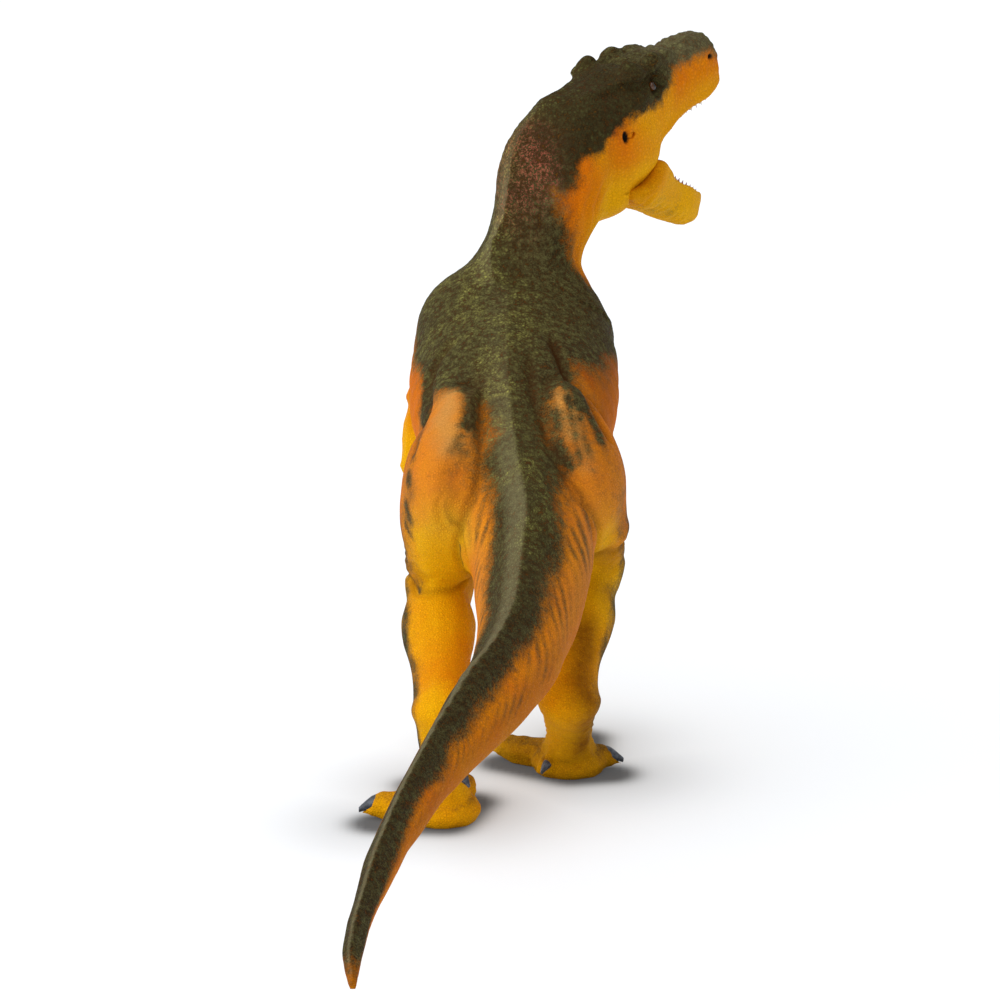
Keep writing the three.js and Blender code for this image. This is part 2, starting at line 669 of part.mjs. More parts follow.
function jawBody(grow = 0) {
  const lip = jawLip.map(([forward, up]) => [forward, up + grow]);
  const overLip = sidePlate([...lip, [lip.at(-1)[0], cutOverrun], [lip[0][0], cutOverrun]], headWidth * 2);
  return snoutLoft(jawRows, sides.jaw, rings.jaw, grown(grow))
    .subtract(overLip)
    .subtract(behindJaw(grow))
    .subtract(hingeDisc(cheekRadius + jawGap - grow, headWidth * 2));
}

// The fold of the throat that hangs under the back of the open jaw.
function throatFold() {
  const [across, back, under] = throatShares.middle;
  const middle = new THREE.Vector3(across * headWidth, back * headLength, under * headDepth);
  const [wide, long, deep] = throatShares.size;
  return egg(middle, new THREE.Vector3(wide * headWidth, long * headLength, deep * headDepth), 16);
}

function buildNeck() {
  return neckBody
    .add(placed(throatFold(), headGroup.matrixWorld))
    .subtract(placed(skullRoom, headGroup.matrixWorld))
    .subtract(placed(jawBody(jawGap), jawGroup.matrixWorld))
    .add(neckSpigotRod())
    .add(plugAt(neckSeam, -1, neckPlug));
}

function buildHead() {
  return skullBody
    .subtract(mouthSpace())
    .subtract(hingeDisc(cheekRadius + jawGap, knuckleWidth + 2 * socketGap))
    .subtract(earsAndNostrils())
    .subtract(upperInlay(socketGap))
    .subtract(hingeDisc(hingePin.radius + socketGap, hingePin.length + 2 * socketGap))
    .subtract(placed(neckSpigotRod(socketGap), toHead));
}

function buildLowerJaw() {
  const knuckle = hingeDisc(knuckleRadius, knuckleWidth);
  const web = sidePlate([
    [0, jawDepth * 0.05], [cheekRadius * 1.4, jawDepth * 0.05],
    [cheekRadius * 1.2, -jawDepth * 0.42], [0, -knuckleRadius * 0.84],
  ], knuckleWidth);
  return jawBody()
    .add(knuckle)
    .add(web)
    .subtract(lowerInlay(socketGap))
    .subtract(hingeDisc(hingePin.radius + socketGap, knuckleWidth * 2));
}

function buildTrunk() {
  const outer = spineStretch(tailSeam, neckSeam, sides.trunk, rings.trunk, { trim: seamGap / 2 });
  const inner = spineStretch(tailSeam + 1.4, neckSeam - 0.3, sides.trunk / 2, rings.cavity, { grow: -skinWall });
  let cavity = inner;
  let shell = outer;
  for (const pose of Object.values(legPoses)) {
    cavity = cavity.subtract(legSolid(pose, skinWall));
    shell = shell.subtract(legSolid(pose, seamGap)).subtract(hipRod(pose, socketGap));
  }
  for (const pose of Object.values(armPoses)) shell = shell.subtract(armRod(pose, socketGap));
  return shell
    .subtract(cavity)
    .subtract(plugAt(tailSeam, 1, tailPlug, socketGap))
    .subtract(plugAt(neckSeam, -1, neckPlug, socketGap));
}

function buildLeg(pose) {
  return legSolid(pose).subtract(underGround()).add(hipRod(pose));
}

function buildArm(pose, trunkGrown) {
  return armBody(pose).subtract(trunkGrown).add(armRod(pose));
}

const figure = new THREE.Group();
figure.add(headGroup);

function addPiece(name, solid, color, parent = figure, metalness = 0) {
  const mesh = new THREE.Mesh(geometryOf(solid), finish(color, metalness));
  mesh.name = name;
  parent.add(mesh);
  return mesh;
}

const trunkGrown = spineStretch(tailSeam, neckSeam, sides.trunk, rings.trunk, { grow: seamGap });
addPiece("trunk", buildTrunk(), colours.back);
addPiece("tail", spineStretch(0, tailSeam, sides.tail, rings.tail, { trim: seamGap / 2 })
  .add(plugAt(tailSeam, 1, tailPlug)), colours.back);
addPiece("neck", buildNeck(), colours.back);
addPiece("left_leg", buildLeg(legPoses.left), colours.leg);
addPiece("right_leg", buildLeg(legPoses.right), colours.leg);
addPiece("left_arm", buildArm(armPoses.left, trunkGrown), colours.leg);
addPiece("right_arm", buildArm(armPoses.right, trunkGrown), colours.leg);
addPiece("head", buildHead(), colours.back, headGroup);
addPiece("palate_and_upper_teeth",
  upperInlay().add(teeth(headRows, upperLip, upperTeethASide, -1, {
    first: cheekRadius * 1.66, last: headLength * 0.775, inset: inlayMargin + toothRadius * 1.8,
  })), colours.gum, headGroup);
addPiece("jaw_hinge_pin", hingeDisc(hingePin.radius, hingePin.length), colours.steel, headGroup, 1);
addPiece("lower_jaw", buildLowerJaw(), colours.throat, jawGroup);
addPiece("tongue_and_lower_teeth",
  lowerInlay().add(teeth(jawRows, jawLip, lowerTeethASide, 1, {
    first: cheekRadius * 1.58, last: jawLength * 0.88, inset: inlayMargin + toothRadius * 1.6,
  })).add(tongue()), colours.gum, jawGroup);

// The origin is under the middle of the figure, on the ground.
const reach = new THREE.Box3().setFromObject(figure, true).getCenter(new THREE.Vector3());
figure.position.set(-reach.x, -reach.y, 0);

export default figure;
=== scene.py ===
"""Looks of a hand-painted vinyl figure of a large two-legged meat-eating dinosaur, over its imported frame."""

import json
import logging
import math
from dataclasses import dataclass, field
from enum import Enum
from typing import Any, Iterable, Sequence

import bmesh
import bpy
import numpy as np
from mathutils import Matrix, Vector, noise
from mathutils.bvhtree import BVHTree

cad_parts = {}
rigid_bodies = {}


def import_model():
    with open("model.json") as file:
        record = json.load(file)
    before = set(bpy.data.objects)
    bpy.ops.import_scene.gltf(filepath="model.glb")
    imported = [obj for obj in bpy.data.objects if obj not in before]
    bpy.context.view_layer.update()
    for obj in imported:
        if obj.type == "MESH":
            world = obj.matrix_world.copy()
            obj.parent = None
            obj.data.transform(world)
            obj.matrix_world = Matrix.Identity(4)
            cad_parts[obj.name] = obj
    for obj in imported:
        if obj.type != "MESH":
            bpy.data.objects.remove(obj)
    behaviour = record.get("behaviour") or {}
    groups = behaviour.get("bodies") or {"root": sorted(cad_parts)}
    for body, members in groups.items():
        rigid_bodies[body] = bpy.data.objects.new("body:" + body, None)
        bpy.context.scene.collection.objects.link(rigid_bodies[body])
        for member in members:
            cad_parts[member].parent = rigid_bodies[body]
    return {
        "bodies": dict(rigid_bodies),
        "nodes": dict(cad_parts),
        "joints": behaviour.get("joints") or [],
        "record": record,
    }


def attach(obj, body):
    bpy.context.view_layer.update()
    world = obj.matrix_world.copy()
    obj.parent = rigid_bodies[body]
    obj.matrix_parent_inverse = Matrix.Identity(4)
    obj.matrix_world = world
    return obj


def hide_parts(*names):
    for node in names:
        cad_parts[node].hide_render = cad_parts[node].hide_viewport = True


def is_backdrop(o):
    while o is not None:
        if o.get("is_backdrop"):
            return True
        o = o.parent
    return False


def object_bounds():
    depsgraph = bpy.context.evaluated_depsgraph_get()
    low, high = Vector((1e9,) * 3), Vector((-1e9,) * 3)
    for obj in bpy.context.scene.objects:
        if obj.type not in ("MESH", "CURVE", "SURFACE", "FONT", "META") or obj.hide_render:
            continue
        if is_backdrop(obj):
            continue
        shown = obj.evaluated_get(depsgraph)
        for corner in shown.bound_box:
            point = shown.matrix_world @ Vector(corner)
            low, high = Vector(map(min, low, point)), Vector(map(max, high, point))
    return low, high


log = logging.getLogger("figure")
MM = 0.001
# Places on the side of the head, as (forward, up) from the hinge in millimetres.
EYE_AT = (10.2, 15.6)
EAR_AT = (-4.8, 8.0)
NOSTRIL_AT = (36.4, 13.6)


class Side(Enum):
    """The animal's two sides, by the sign of its right-hand direction."""

    LEFT = -1
    RIGHT = 1


# How high the fold behind each knee lies, in millimetres.
KNEE_FOLDS = {Side.LEFT: 51.5, Side.RIGHT: 58.0}


# The drawing frame.


@dataclass(frozen=True)
class Stance:
    """Where the animal's drawing frame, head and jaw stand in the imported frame. Sizes in millimetres."""

    hinge: tuple[float, float, float] = (24.5, 94.0, 138.3)
    heading: float = 43.0
    pitch: float = 14.0
    gape: float = 42.0
    hinge_row: tuple[float, float, float] = (15.9, 115.5, 138.3)

    def shift(self) -> Vector:
        """Where the drawing frame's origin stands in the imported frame."""
        return Vector(self.hinge_row) - Vector(self.hinge)

    def to_drawing(self, coords: np.ndarray) -> np.ndarray:
        """Turns packed coordinates into drawing ones.

        Args:
            coords: points in metres, one a row.

        Returns:
            The points in millimetres in the drawing frame.
        """
        return coords / MM - np.array(self.shift())

    def to_row(self, point: Sequence[float]) -> Vector:
        """A drawing point, in millimetres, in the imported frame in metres."""
        return (Vector(point) + self.shift()) * MM

    def carry(self, bm: bmesh.types.BMesh, place: Matrix, lowest: float = -math.inf) -> bmesh.types.BMesh:
        """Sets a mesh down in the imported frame.

        Args:
            bm: the mesh, in millimetres in a frame of its own.
            place: that frame in the drawing frame.
            lowest: the height that no point goes under.

        Returns:
            The same mesh, in metres.
        """
        bmesh.ops.transform(bm, matrix=place, verts=bm.verts)
        for vert in bm.verts:
            vert.co.z = max(vert.co.z, lowest)
            vert.co = self.to_row(vert.co)
        return bm

    def head(self) -> Matrix:
        """The head's frame in the drawing frame: +Y along the snout, +Z the roof, origin the hinge.

        Returns:
            The frame as a matrix in millimetres.
        """
        turn = Matrix.Rotation(-math.radians(self.heading), 4, "Z")
        nod = Matrix.Rotation(math.radians(self.pitch), 4, "X")
        return Matrix.Translation(self.hinge) @ turn @ nod

    def jaw(self) -> Matrix:
        """The lower jaw's frame in the drawing frame, with the mouth open."""
        return self.head() @ Matrix.Rotation(-math.radians(self.gape), 4, "X")

    def within(self, frame: Matrix, points: np.ndarray) -> np.ndarray:
        """Drawing points seen from a frame, as (across, forward, up) rows."""
        inverse = np.array(frame.inverted())
        return points @ inverse[:3, :3].T + inverse[:3, 3]


@dataclass(frozen=True)
class Spine:
    """The middle line of tail, trunk and neck, in millimetres in the drawing frame."""

    points: tuple[tuple[float, float, float], ...] = (
        (-31.6, -167.3, 20.4), (-32.0, -158.0, 23.6), (-29.5, -140.0, 28.5), (-25.0, -120.1, 33.9),
        (-17.6, -95.0, 38.7), (-11.5, -78.0, 42.0), (-2.9, -57.0, 46.5), (1.5, -42.0, 50.0),
        (3.7, -22.1, 57.1), (4.5, -12.0, 62.0), (2.0, 8.0, 72.0), (0.5, 28.0, 80.0), (0.4, 46.0, 86.0),
        (0.6, 62.0, 90.5), (0.8, 74.5, 97.5), (2.6, 80.0, 106.0), (4.6, 83.5, 116.0), (8.6, 84.0, 127.0),
        (11.6, 85.0, 137.0), (16.6, 88.5, 146.0), (24.1, 94.5, 151.0),
    )
    twist_along: tuple[float, ...] = (0, 255, 270, 282, 293, 304, 326)
    twist: tuple[float, ...] = (0, 0, -20, -37, -43, -46, -43)
    tail_seam: int = 9
    neck_seam: int = 15
    fineness: int = 8
    batch: int = 20000

    def line(self) -> np.ndarray:
        """The line as a smooth row of close points.

        Returns:
            The points in millimetres, one a row.
        """
        p = np.array(self.points)
        ends = np.vstack([p[0], p, p[-1]])
        out = []
        for i in range(len(p) - 1):
            a, b, c, d = ends[i : i + 4]
            for k in range(self.fineness):
                t = k / self.fineness
                bend = 2 * a - 5 * b + 4 * c - d + t * (3 * (b - c) + d - a)
                out.append(b + 0.5 * t * (c - a + t * bend))
        out.append(p[-1])
        return np.array(out)

    def locate(self, points: np.ndarray) -> tuple[np.ndarray, np.ndarray]:
        """How far along the line each point lies, and how far round it from the back.

        Args:
            points: drawing points in millimetres.

        Returns:
            The distance from the tail tip in millimetres, and the turn in degrees: 0 on the back, plus or
            minus 180 on the belly, and positive on the animal's right. The back twists with the turned neck.
        """
        line = self.line()
        way = np.gradient(line, axis=0)
        way /= np.linalg.norm(way, axis=1)[:, None]
        reach = np.concatenate([[0], np.cumsum(np.linalg.norm(np.diff(line, axis=0), axis=1))])
        nearest = np.empty(len(points), int)
        for start in range(0, len(points), self.batch):
            part = points[start : start + self.batch]
            gap = ((part[:, None] - line[None]) ** 2).sum(2)
            nearest[start : start + self.batch] = gap.argmin(1)
        off = points - line[nearest]
        along = reach[nearest] + (off * way[nearest]).sum(1)
        back = np.cross((1.0, 0.0, 0.0), way[nearest])
        back /= np.linalg.norm(back, axis=1)[:, None]
        across = np.cross(way[nearest], back)
        turn = np.degrees(np.arctan2((off * across).sum(1), (off * back).sum(1)))
        turn -= np.interp(along, self.twist_along, self.twist)
        return along, (turn + 180) % 360 - 180

    def seam(self, index: int) -> tuple[Vector, Vector]:
        """A seam's middle and the way along the line there.

        Args:
            index: which of the spine's points it lies at.

        Returns:
            The middle in millimetres, and the way.
        """
        line = self.line()
        at = index * self.fineness
        return Vector(line[at]), Vector(line[at + 1] - line[at - 1]).normalized()


# Numbers.


def soft(values: np.ndarray, low: float | np.ndarray, high: float | np.ndarray) -> np.ndarray:
    """A smooth step from 0 at low to 1 at high.

    Args:
        values: the numbers to step.
        low: where the step starts.
        high: where it ends.

    Returns:
        Numbers from 0 to 1.
    """
    t = np.clip((values - low) / (high - low), 0, 1)
    return t * t * (3 - 2 * t)


def bell(values: np.ndarray, middle: float | np.ndarray, width: float) -> np.ndarray:
    """A bell curve of height 1."""
    return np.exp(-(((values - middle) / width) ** 2))


def clouds(points: np.ndarray, size: float, seed: float = 0.0) -> np.ndarray:
    """Smooth noise between about -1 and 1, with features of a given size in the points' own unit."""
    scaled = points / size + seed
    return np.fromiter((noise.noise(Vector(p)) for p in scaled), float, len(scaled)) * 1.6


def pebbles(points: np.ndarray, size: float) -> np.ndarray:
    """Round bumps of a given size, 1 on their tops and 0 between them.

    Args:
        points: places, one a row.
        size: the bumps' size in the points' own unit.

    Returns:
        One number a point.
    """
    scaled = points / size
    first = np.fromiter((noise.voronoi(Vector(p))[0][0] for p in scaled), float, len(scaled))
    return 1 - soft(first, 0.1, 0.62)


# Meshes.


def packed_copy(node: bpy.types.Object, grow: float = 0.0) -> bmesh.types.BMesh:
    """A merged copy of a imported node's mesh, with its skin moved out.

    Args:
        node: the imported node.
        grow: how far the skin moves out, in millimetres.

    Returns:
        The copy in a new bmesh.
    """
    bm = bmesh.new()
    bm.from_mesh(node.data)
    bmesh.ops.remove_doubles(bm, verts=bm.verts, dist=1e-6)
    bm.normal_update()
    for vert in bm.verts:
        vert.co += vert.normal * grow * MM
    return bm


def add_object(name: str, bm: bmesh.types.BMesh) -> bpy.types.Object:
    """Puts a bmesh into a new object at the origin, and frees it.

    Args:
        name: the object's name.
        bm: its mesh.

    Returns:
        The object.
    """
    mesh = bpy.data.meshes.new(name)
    bm.to_mesh(mesh)
    bm.free()
    obj = bpy.data.objects.new(name, mesh)
    bpy.context.scene.collection.objects.link(obj)
    return obj


def settled(obj: bpy.types.Object) -> bpy.types.Mesh:
    """An object's mesh with its modifiers applied.

    Args:
        obj: the object.

    Returns:
        A new mesh.
    """
    graph = bpy.context.evaluated_depsgraph_get()
    graph.update()
    return bpy.data.meshes.new_from_object(obj.evaluated_get(graph))


def swap_mesh(obj: bpy.types.Object, mesh: bpy.types.Mesh) -> bpy.types.Object:
    """Gives an object a new mesh and drops its modifiers.

    Args:
        obj: the object.
        mesh: its new mesh.

    Returns:
        The same object.
    """
    obj.modifiers.clear()
    obj.data = mesh
    return obj


def joined(parts: Iterable[bmesh.types.BMesh]) -> bmesh.types.BMesh:
    """Puts several meshes into one.

    Args:
        parts: the meshes, which are freed.

    Returns:
        The one mesh.
    """
    whole = bmesh.new()
    for part in parts:
        mesh = bpy.data.meshes.new("part")
        part.to_mesh(mesh)
        part.free()
        whole.from_mesh(mesh)
        bpy.data.meshes.remove(mesh)
    return whole


def moulded(name: str, parts: Iterable[bmesh.types.BMesh], voxel: float) -> bpy.types.Object:
    """Runs several closed meshes together into one even skin.

    Args:
        name: the new object's name.
        parts: closed meshes, which are freed.
        voxel: the size of the skin's faces in millimetres.

    Returns:
        The new object.
    """
    obj = add_object(name, joined(parts))
    remesh = obj.modifiers.new("remesh", "REMESH")
    remesh.mode = "VOXEL"
    remesh.voxel_size = voxel * MM
    return swap_mesh(obj, settled(obj))


def cut_with(obj: bpy.types.Object, tool: bpy.types.Object, operation: str) -> bpy.types.Mesh:
    """Cuts an object by a closed tool.

    Args:
        obj: the object to cut.
        tool: the closed tool.
        operation: INTERSECT keeps what is inside the tool, DIFFERENCE what is outside.

    Returns:
        The cut mesh.
    """
    cut = obj.modifiers.new("cut", "BOOLEAN")
    cut.object = tool
    cut.operation = operation
    cut.solver = "MANIFOLD"
    mesh = settled(obj)
    obj.modifiers.clear()
    return mesh


def halved(mesh: bpy.types.Mesh, point: Vector, way: Vector) -> bpy.types.Mesh:
    """The half of a closed mesh that lies along a way from a point, with the cut closed flat.

    Args:
        mesh: the closed mesh.
        point: a point of the cut.
        way: the way to the half that is kept.

    Returns:
        The half as a new mesh.
    """
    bm = bmesh.new()
    bm.from_mesh(mesh)
    geom = bm.verts[:] + bm.edges[:] + bm.faces[:]
    cut = bmesh.ops.bisect_plane(bm, geom=geom, plane_co=point, plane_no=way, clear_inner=True)
    rim = [e for e in cut["geom_cut"] if isinstance(e, bmesh.types.BMEdge)]
    bmesh.ops.holes_fill(bm, edges=rim, sides=0)
    out = bpy.data.meshes.new(mesh.name)
    bm.to_mesh(out)
    bm.free()
    return out


def main_body(mesh: bpy.types.Mesh) -> bpy.types.Mesh:
    """A mesh without the crumbs that a cut leaves: only its largest joined body.

    Args:
        mesh: the cut mesh.

    Returns:
        The largest body as a new mesh.
    """
    bm = bmesh.new()
    bm.from_mesh(mesh)
    waiting, best = set(bm.verts), []
    while waiting:
        front = [waiting.pop()]
        body = list(front)
        while front:
            vert = front.pop()
            for edge in vert.link_edges:
                other = edge.other_vert(vert)
                if other in waiting:
                    waiting.discard(other)
                    front.append(other)
                    body.append(other)
        best = max(best, body, key=len)
    kept = set(best)
    bmesh.ops.delete(bm, geom=[vert for vert in bm.verts if vert not in kept], context="VERTS")
    out = bpy.data.meshes.new(mesh.name)
    bm.to_mesh(out)
    bm.free()
    return out


def points_of(mesh: bpy.types.Mesh) -> np.ndarray:
    """A mesh's points, one a row.

    Args:
        mesh: the mesh.

    Returns:
        An array of three columns.
    """
    flat = np.empty(len(mesh.vertices) * 3)
    mesh.vertices.foreach_get("co", flat)
    return flat.reshape(-1, 3)


def normals_of(mesh: bpy.types.Mesh) -> np.ndarray:
    """A mesh's vertex normals, one a row.

    Args:
        mesh: the mesh.

    Returns:
        An array of three columns.
    """
    flat = np.empty(len(mesh.vertices) * 3)
    mesh.vertices.foreach_get("normal", flat)
    return flat.reshape(-1, 3)


def set_points(mesh: bpy.types.Mesh, points: np.ndarray) -> None:
    """Moves a mesh's points."""
    mesh.vertices.foreach_set("co", points.ravel())
    mesh.update()


def relaxed(mesh: bpy.types.Mesh, weight: np.ndarray, rounds: int) -> None:
    """Smooths a mesh by drawing each point towards its neighbours.

    Args:
        mesh: the mesh to smooth.
        weight: how strongly each point is drawn, from 0 to 1.
        rounds: how many times.
    """
    pairs = np.empty(len(mesh.edges) * 2, int)
    mesh.edges.foreach_get("vertices", pairs)
    pairs = pairs.reshape(-1, 2)
    here = np.concatenate([pairs[:, 0], pairs[:, 1]])
    there = np.concatenate([pairs[:, 1], pairs[:, 0]])
    count = np.maximum(np.bincount(here, minlength=len(mesh.vertices)), 1)
    points = points_of(mesh)
    for _ in range(rounds):
        sums = [np.bincount(here, points[there, axis], len(points)) for axis in range(3)]
        middle = np.stack(sums, axis=1) / count[:, None]
        points += (0.6 * weight)[:, None] * (middle - points)
    set_points(mesh, points)


def kept_inside(mesh: bpy.types.Mesh, box: Sequence[Sequence[float]], room: float = 0.02) -> None:
    """Keeps a mesh's points inside a box, with a little room in millimetres.

    Args:
        mesh: the mesh.
        box: the box's two corners, in metres.
        room: the room in millimetres.
    """
    low, high = (np.array([float(v) for v in corner]) for corner in box)
    set_points(mesh, np.clip(points_of(mesh), low + room * MM, high - room * MM))


def write_mask(mesh: bpy.types.Mesh, name: str, values: np.ndarray) -> None:
    """Stores one number a point for a material to read."""
    layer = mesh.attributes.new(name, "FLOAT", "POINT")
    layer.data.foreach_set("value", np.clip(values, 0, 1).astype(np.float32))


def smooth_shaded(obj: bpy.types.Object, crease: float = 55.0) -> None:
    """Shades an object smoothly, with its edges sharper than an angle kept crisp.

    Args:
        obj: the object.
        crease: the angle in degrees.
    """
    mesh = obj.data
    mesh.polygons.foreach_set("use_smooth", [True] * len(mesh.polygons))
    bm = bmesh.new()
    bm.from_mesh(mesh)
    limit = math.radians(crease)
    for edge in bm.edges:
        edge.smooth = len(edge.link_faces) != 2 or edge.calc_face_angle(0) < limit
    bm.to_mesh(mesh)
    bm.free()


def lengthwise(way: Vector) -> Matrix:
    """The turn that lays +Y along a way and keeps +X level."""
    across = way.cross(Vector((0, 0, 1))).normalized()
    return Matrix((across, way, across.cross(way))).transposed().to_4x4()


def painted(piece: bpy.types.Object, finish: bpy.types.Material, smooth: bool = True) -> None:
    """Gives a piece its one material and reports it.

    Args:
        piece: the piece.
        finish: its material.
        smooth: whether its faces are shaded smoothly.
    """
    piece.data.materials.clear()
    piece.data.materials.append(finish)
    if smooth:
        smooth_shaded(piece)
    log.info("%s: %d faces", piece.name, len(piece.data.polygons))


def horn(
    length: float, radius: float, bend: float, tip: float = 0.12, around: int = 12
) -> bmesh.types.BMesh:
    """A curved horn that points along +Y and bends down, with its base at the origin.

    Args:
        length: how long it is, in millimetres.
        radius: the radius of its base.
        bend: how far its tip drops.
        tip: the tip's radius as a share of the base's.
        around: faces round it.

    Returns:
        A closed mesh in millimetres.
    """
    bm = bmesh.new()
    bmesh.ops.create_cone(
        bm, cap_ends=True, segments=around, radius1=radius, radius2=radius * tip, depth=length,
        matrix=Matrix.Rotation(-math.pi / 2, 4, "X") @ Matrix.Translation((0, 0, length / 2)),
    )
    sides = [e for e in bm.edges if abs(e.verts[0].co.y - e.verts[1].co.y) > length * 0.5]
    bmesh.ops.subdivide_edges(bm, edges=sides, cuts=5, use_grid_fill=True)
    for vert in bm.verts:
        share = max(0.0, vert.co.y / length)
        swell = 1 + 0.35 * math.sin(math.pi * min(1.0, share * 1.1)) * (1 - share)
        vert.co.x *= swell
        vert.co.z = vert.co.z * swell - bend * share * share
    bmesh.ops.recalc_face_normals(bm, faces=bm.faces)
    return bm


# Materials.


def rgb(code: str) -> tuple[float, float, float, float]:
    """A paint colour from its six-figure code, as Blender's linear numbers.

    Args:
        code: the colour's red, green and blue as hexadecimal figures.

    Returns:
        Red, green, blue and alpha.
    """
    parts = [int(code[i : i + 2], 16) / 255 for i in (0, 2, 4)]
    linear = [p / 12.92 if p <= 0.04045 else ((p + 0.055) / 1.055) ** 2.4 for p in parts]
    return (*linear, 1.0)


@dataclass
class Link:
    """A node's output that can be used in sums."""

    recipe: "Recipe"
    socket: bpy.types.NodeSocket

    def _math(self, operation: str, *values: Any) -> "Link":
        """Adds one Math node on this value and others."""
        return self.recipe.node("ShaderNodeMath", {"operation": operation}, dict(enumerate(values)))

    def __add__(self, other: Any) -> "Link":
        """Sum."""
        return self._math("ADD", self, other)

    __radd__ = __add__

    def __mul__(self, other: Any) -> "Link":
        """Product."""
        return self._math("MULTIPLY", self, other)

    __rmul__ = __mul__

    def __sub__(self, other: Any) -> "Link":
        """Difference."""
        return self._math("SUBTRACT", self, other)

    def __rsub__(self, other: Any) -> "Link":
        """Difference the other way round."""
        return self._math("SUBTRACT", other, self)

    def step(self, low: float, high: float) -> "Link":
        """A smooth step from 0 at low to 1 at high.

        Args:
            low: where the step starts.
            high: where it ends.

        Returns:
            A link to the step.
        """
        settings = {"interpolation_type": "SMOOTHSTEP"}
        sockets = {"Value": self, "From Min": low, "From Max": high}
        return self.recipe.node("ShaderNodeMapRange", settings, sockets)

    def clear(self) -> "Link":
        """This value kept between 0 and 1."""
        return self.recipe.node("ShaderNodeClamp", {}, {"Value": self})


class Recipe:
    """Builds one material's nodes."""

    def __init__(self, name: str) -> None:
        """Starts an empty material.

        Args:
            name: the material's name.
        """
        self.material = bpy.data.materials.new(name)
        self.material.use_nodes = True
        self.tree = self.material.node_tree
        self.tree.nodes.clear()
        self.place = self.node("ShaderNodeTexCoord", {}, {}, "Object")

    def node(
        self, kind: str, settings: dict[str, Any], sockets: dict[str | int, Any], out: str | int = 0
    ) -> Link:
        """Adds a node.

        Args:
            kind: the node's type.
            settings: its own properties, set first.
            sockets: values or links for its inputs, by name or number.
            out: the output that the link stands for.

        Returns:
            A link from that output.
        """
        made = self.tree.nodes.new(kind)
        for key, value in settings.items():
            setattr(made, key, value)
        for key, value in sockets.items():
            if isinstance(value, Link):
                self.tree.links.new(value.socket, made.inputs[key])
            else:
                made.inputs[key].default_value = value
        return Link(self, made.outputs[out])

    def mask(self, name: str) -> Link:
        """A number stored on the piece's points."""
        return self.node("ShaderNodeAttribute", {"attribute_name": name}, {}, "Fac")

    def clouds(self, size: float, detail: float = 4.0, rough: float = 0.55) -> Link:
        """Noise from 0 to 1 with features of a size in millimetres."""
        sockets = {"Vector": self.place, "Scale": 1 / (size * MM), "Detail": detail, "Roughness": rough}
        return self.node("ShaderNodeTexNoise", {}, sockets)

    def scales(self, size: float) -> Link:
        """Rounded scales of a size in millimetres: 1 on top and 0 in the grooves.

        Args:
            size: how wide a scale is.

        Returns:
            A link to the scales' height.
        """
        noise_sockets = {"Vector": self.place, "Scale": 0.4 / (size * MM)}
        drift = self.node("ShaderNodeTexNoise", {}, noise_sockets, "Color")
        wobble = self.node(
            "ShaderNodeVectorMath", {"operation": "MULTIPLY_ADD"},
            {0: drift, 1: (size * MM * 0.9,) * 3, 2: self.place},
        )
        edge = self.node(
            "ShaderNodeTexVoronoi", {"feature": "DISTANCE_TO_EDGE"},
            {"Vector": wobble, "Scale": 1 / (size * MM), "Randomness": 0.85},
        )
        return edge.step(0.02, 0.34)

    def paint(self, factor: Any, under: Any, over: Any) -> Link:
        """Lays one colour over another by a factor."""
        settings = {"data_type": "RGBA", "clamp_factor": True}
        return self.node("ShaderNodeMix", settings, {0: factor, 6: under, 7: over}, 2)

    def bump(self, height: Link, depth: float, normal: Link | None = None) -> Link:
        """A bump of a depth in millimetres.

        Args:
            height: the height from 0 to 1.
            depth: how far that stands out, in millimetres.
            normal: the bump under this one.

        Returns:
            A link to the bumped normal.
        """
        sockets = {"Height": height, "Distance": depth * MM, "Strength": 1.0}
        if normal is not None:
            sockets["Normal"] = normal
        return self.node("ShaderNodeBump", {}, sockets)

    def finish(self, **sockets: Any) -> bpy.types.Material:
        """Ends the material in a Principled shader.

        Args:
            **sockets: values or links for its inputs, with underscores for spaces.

        Returns:
            The material.
        """
        named = {key.replace("_", " "): value for key, value in sockets.items()}
        shader = self.node("ShaderNodeBsdfPrincipled", {}, named)
        end = self.tree.nodes.new("ShaderNodeOutputMaterial")
        self.tree.links.new(shader.socket, end.inputs["Surface"])
        return self.material


# Finishes.


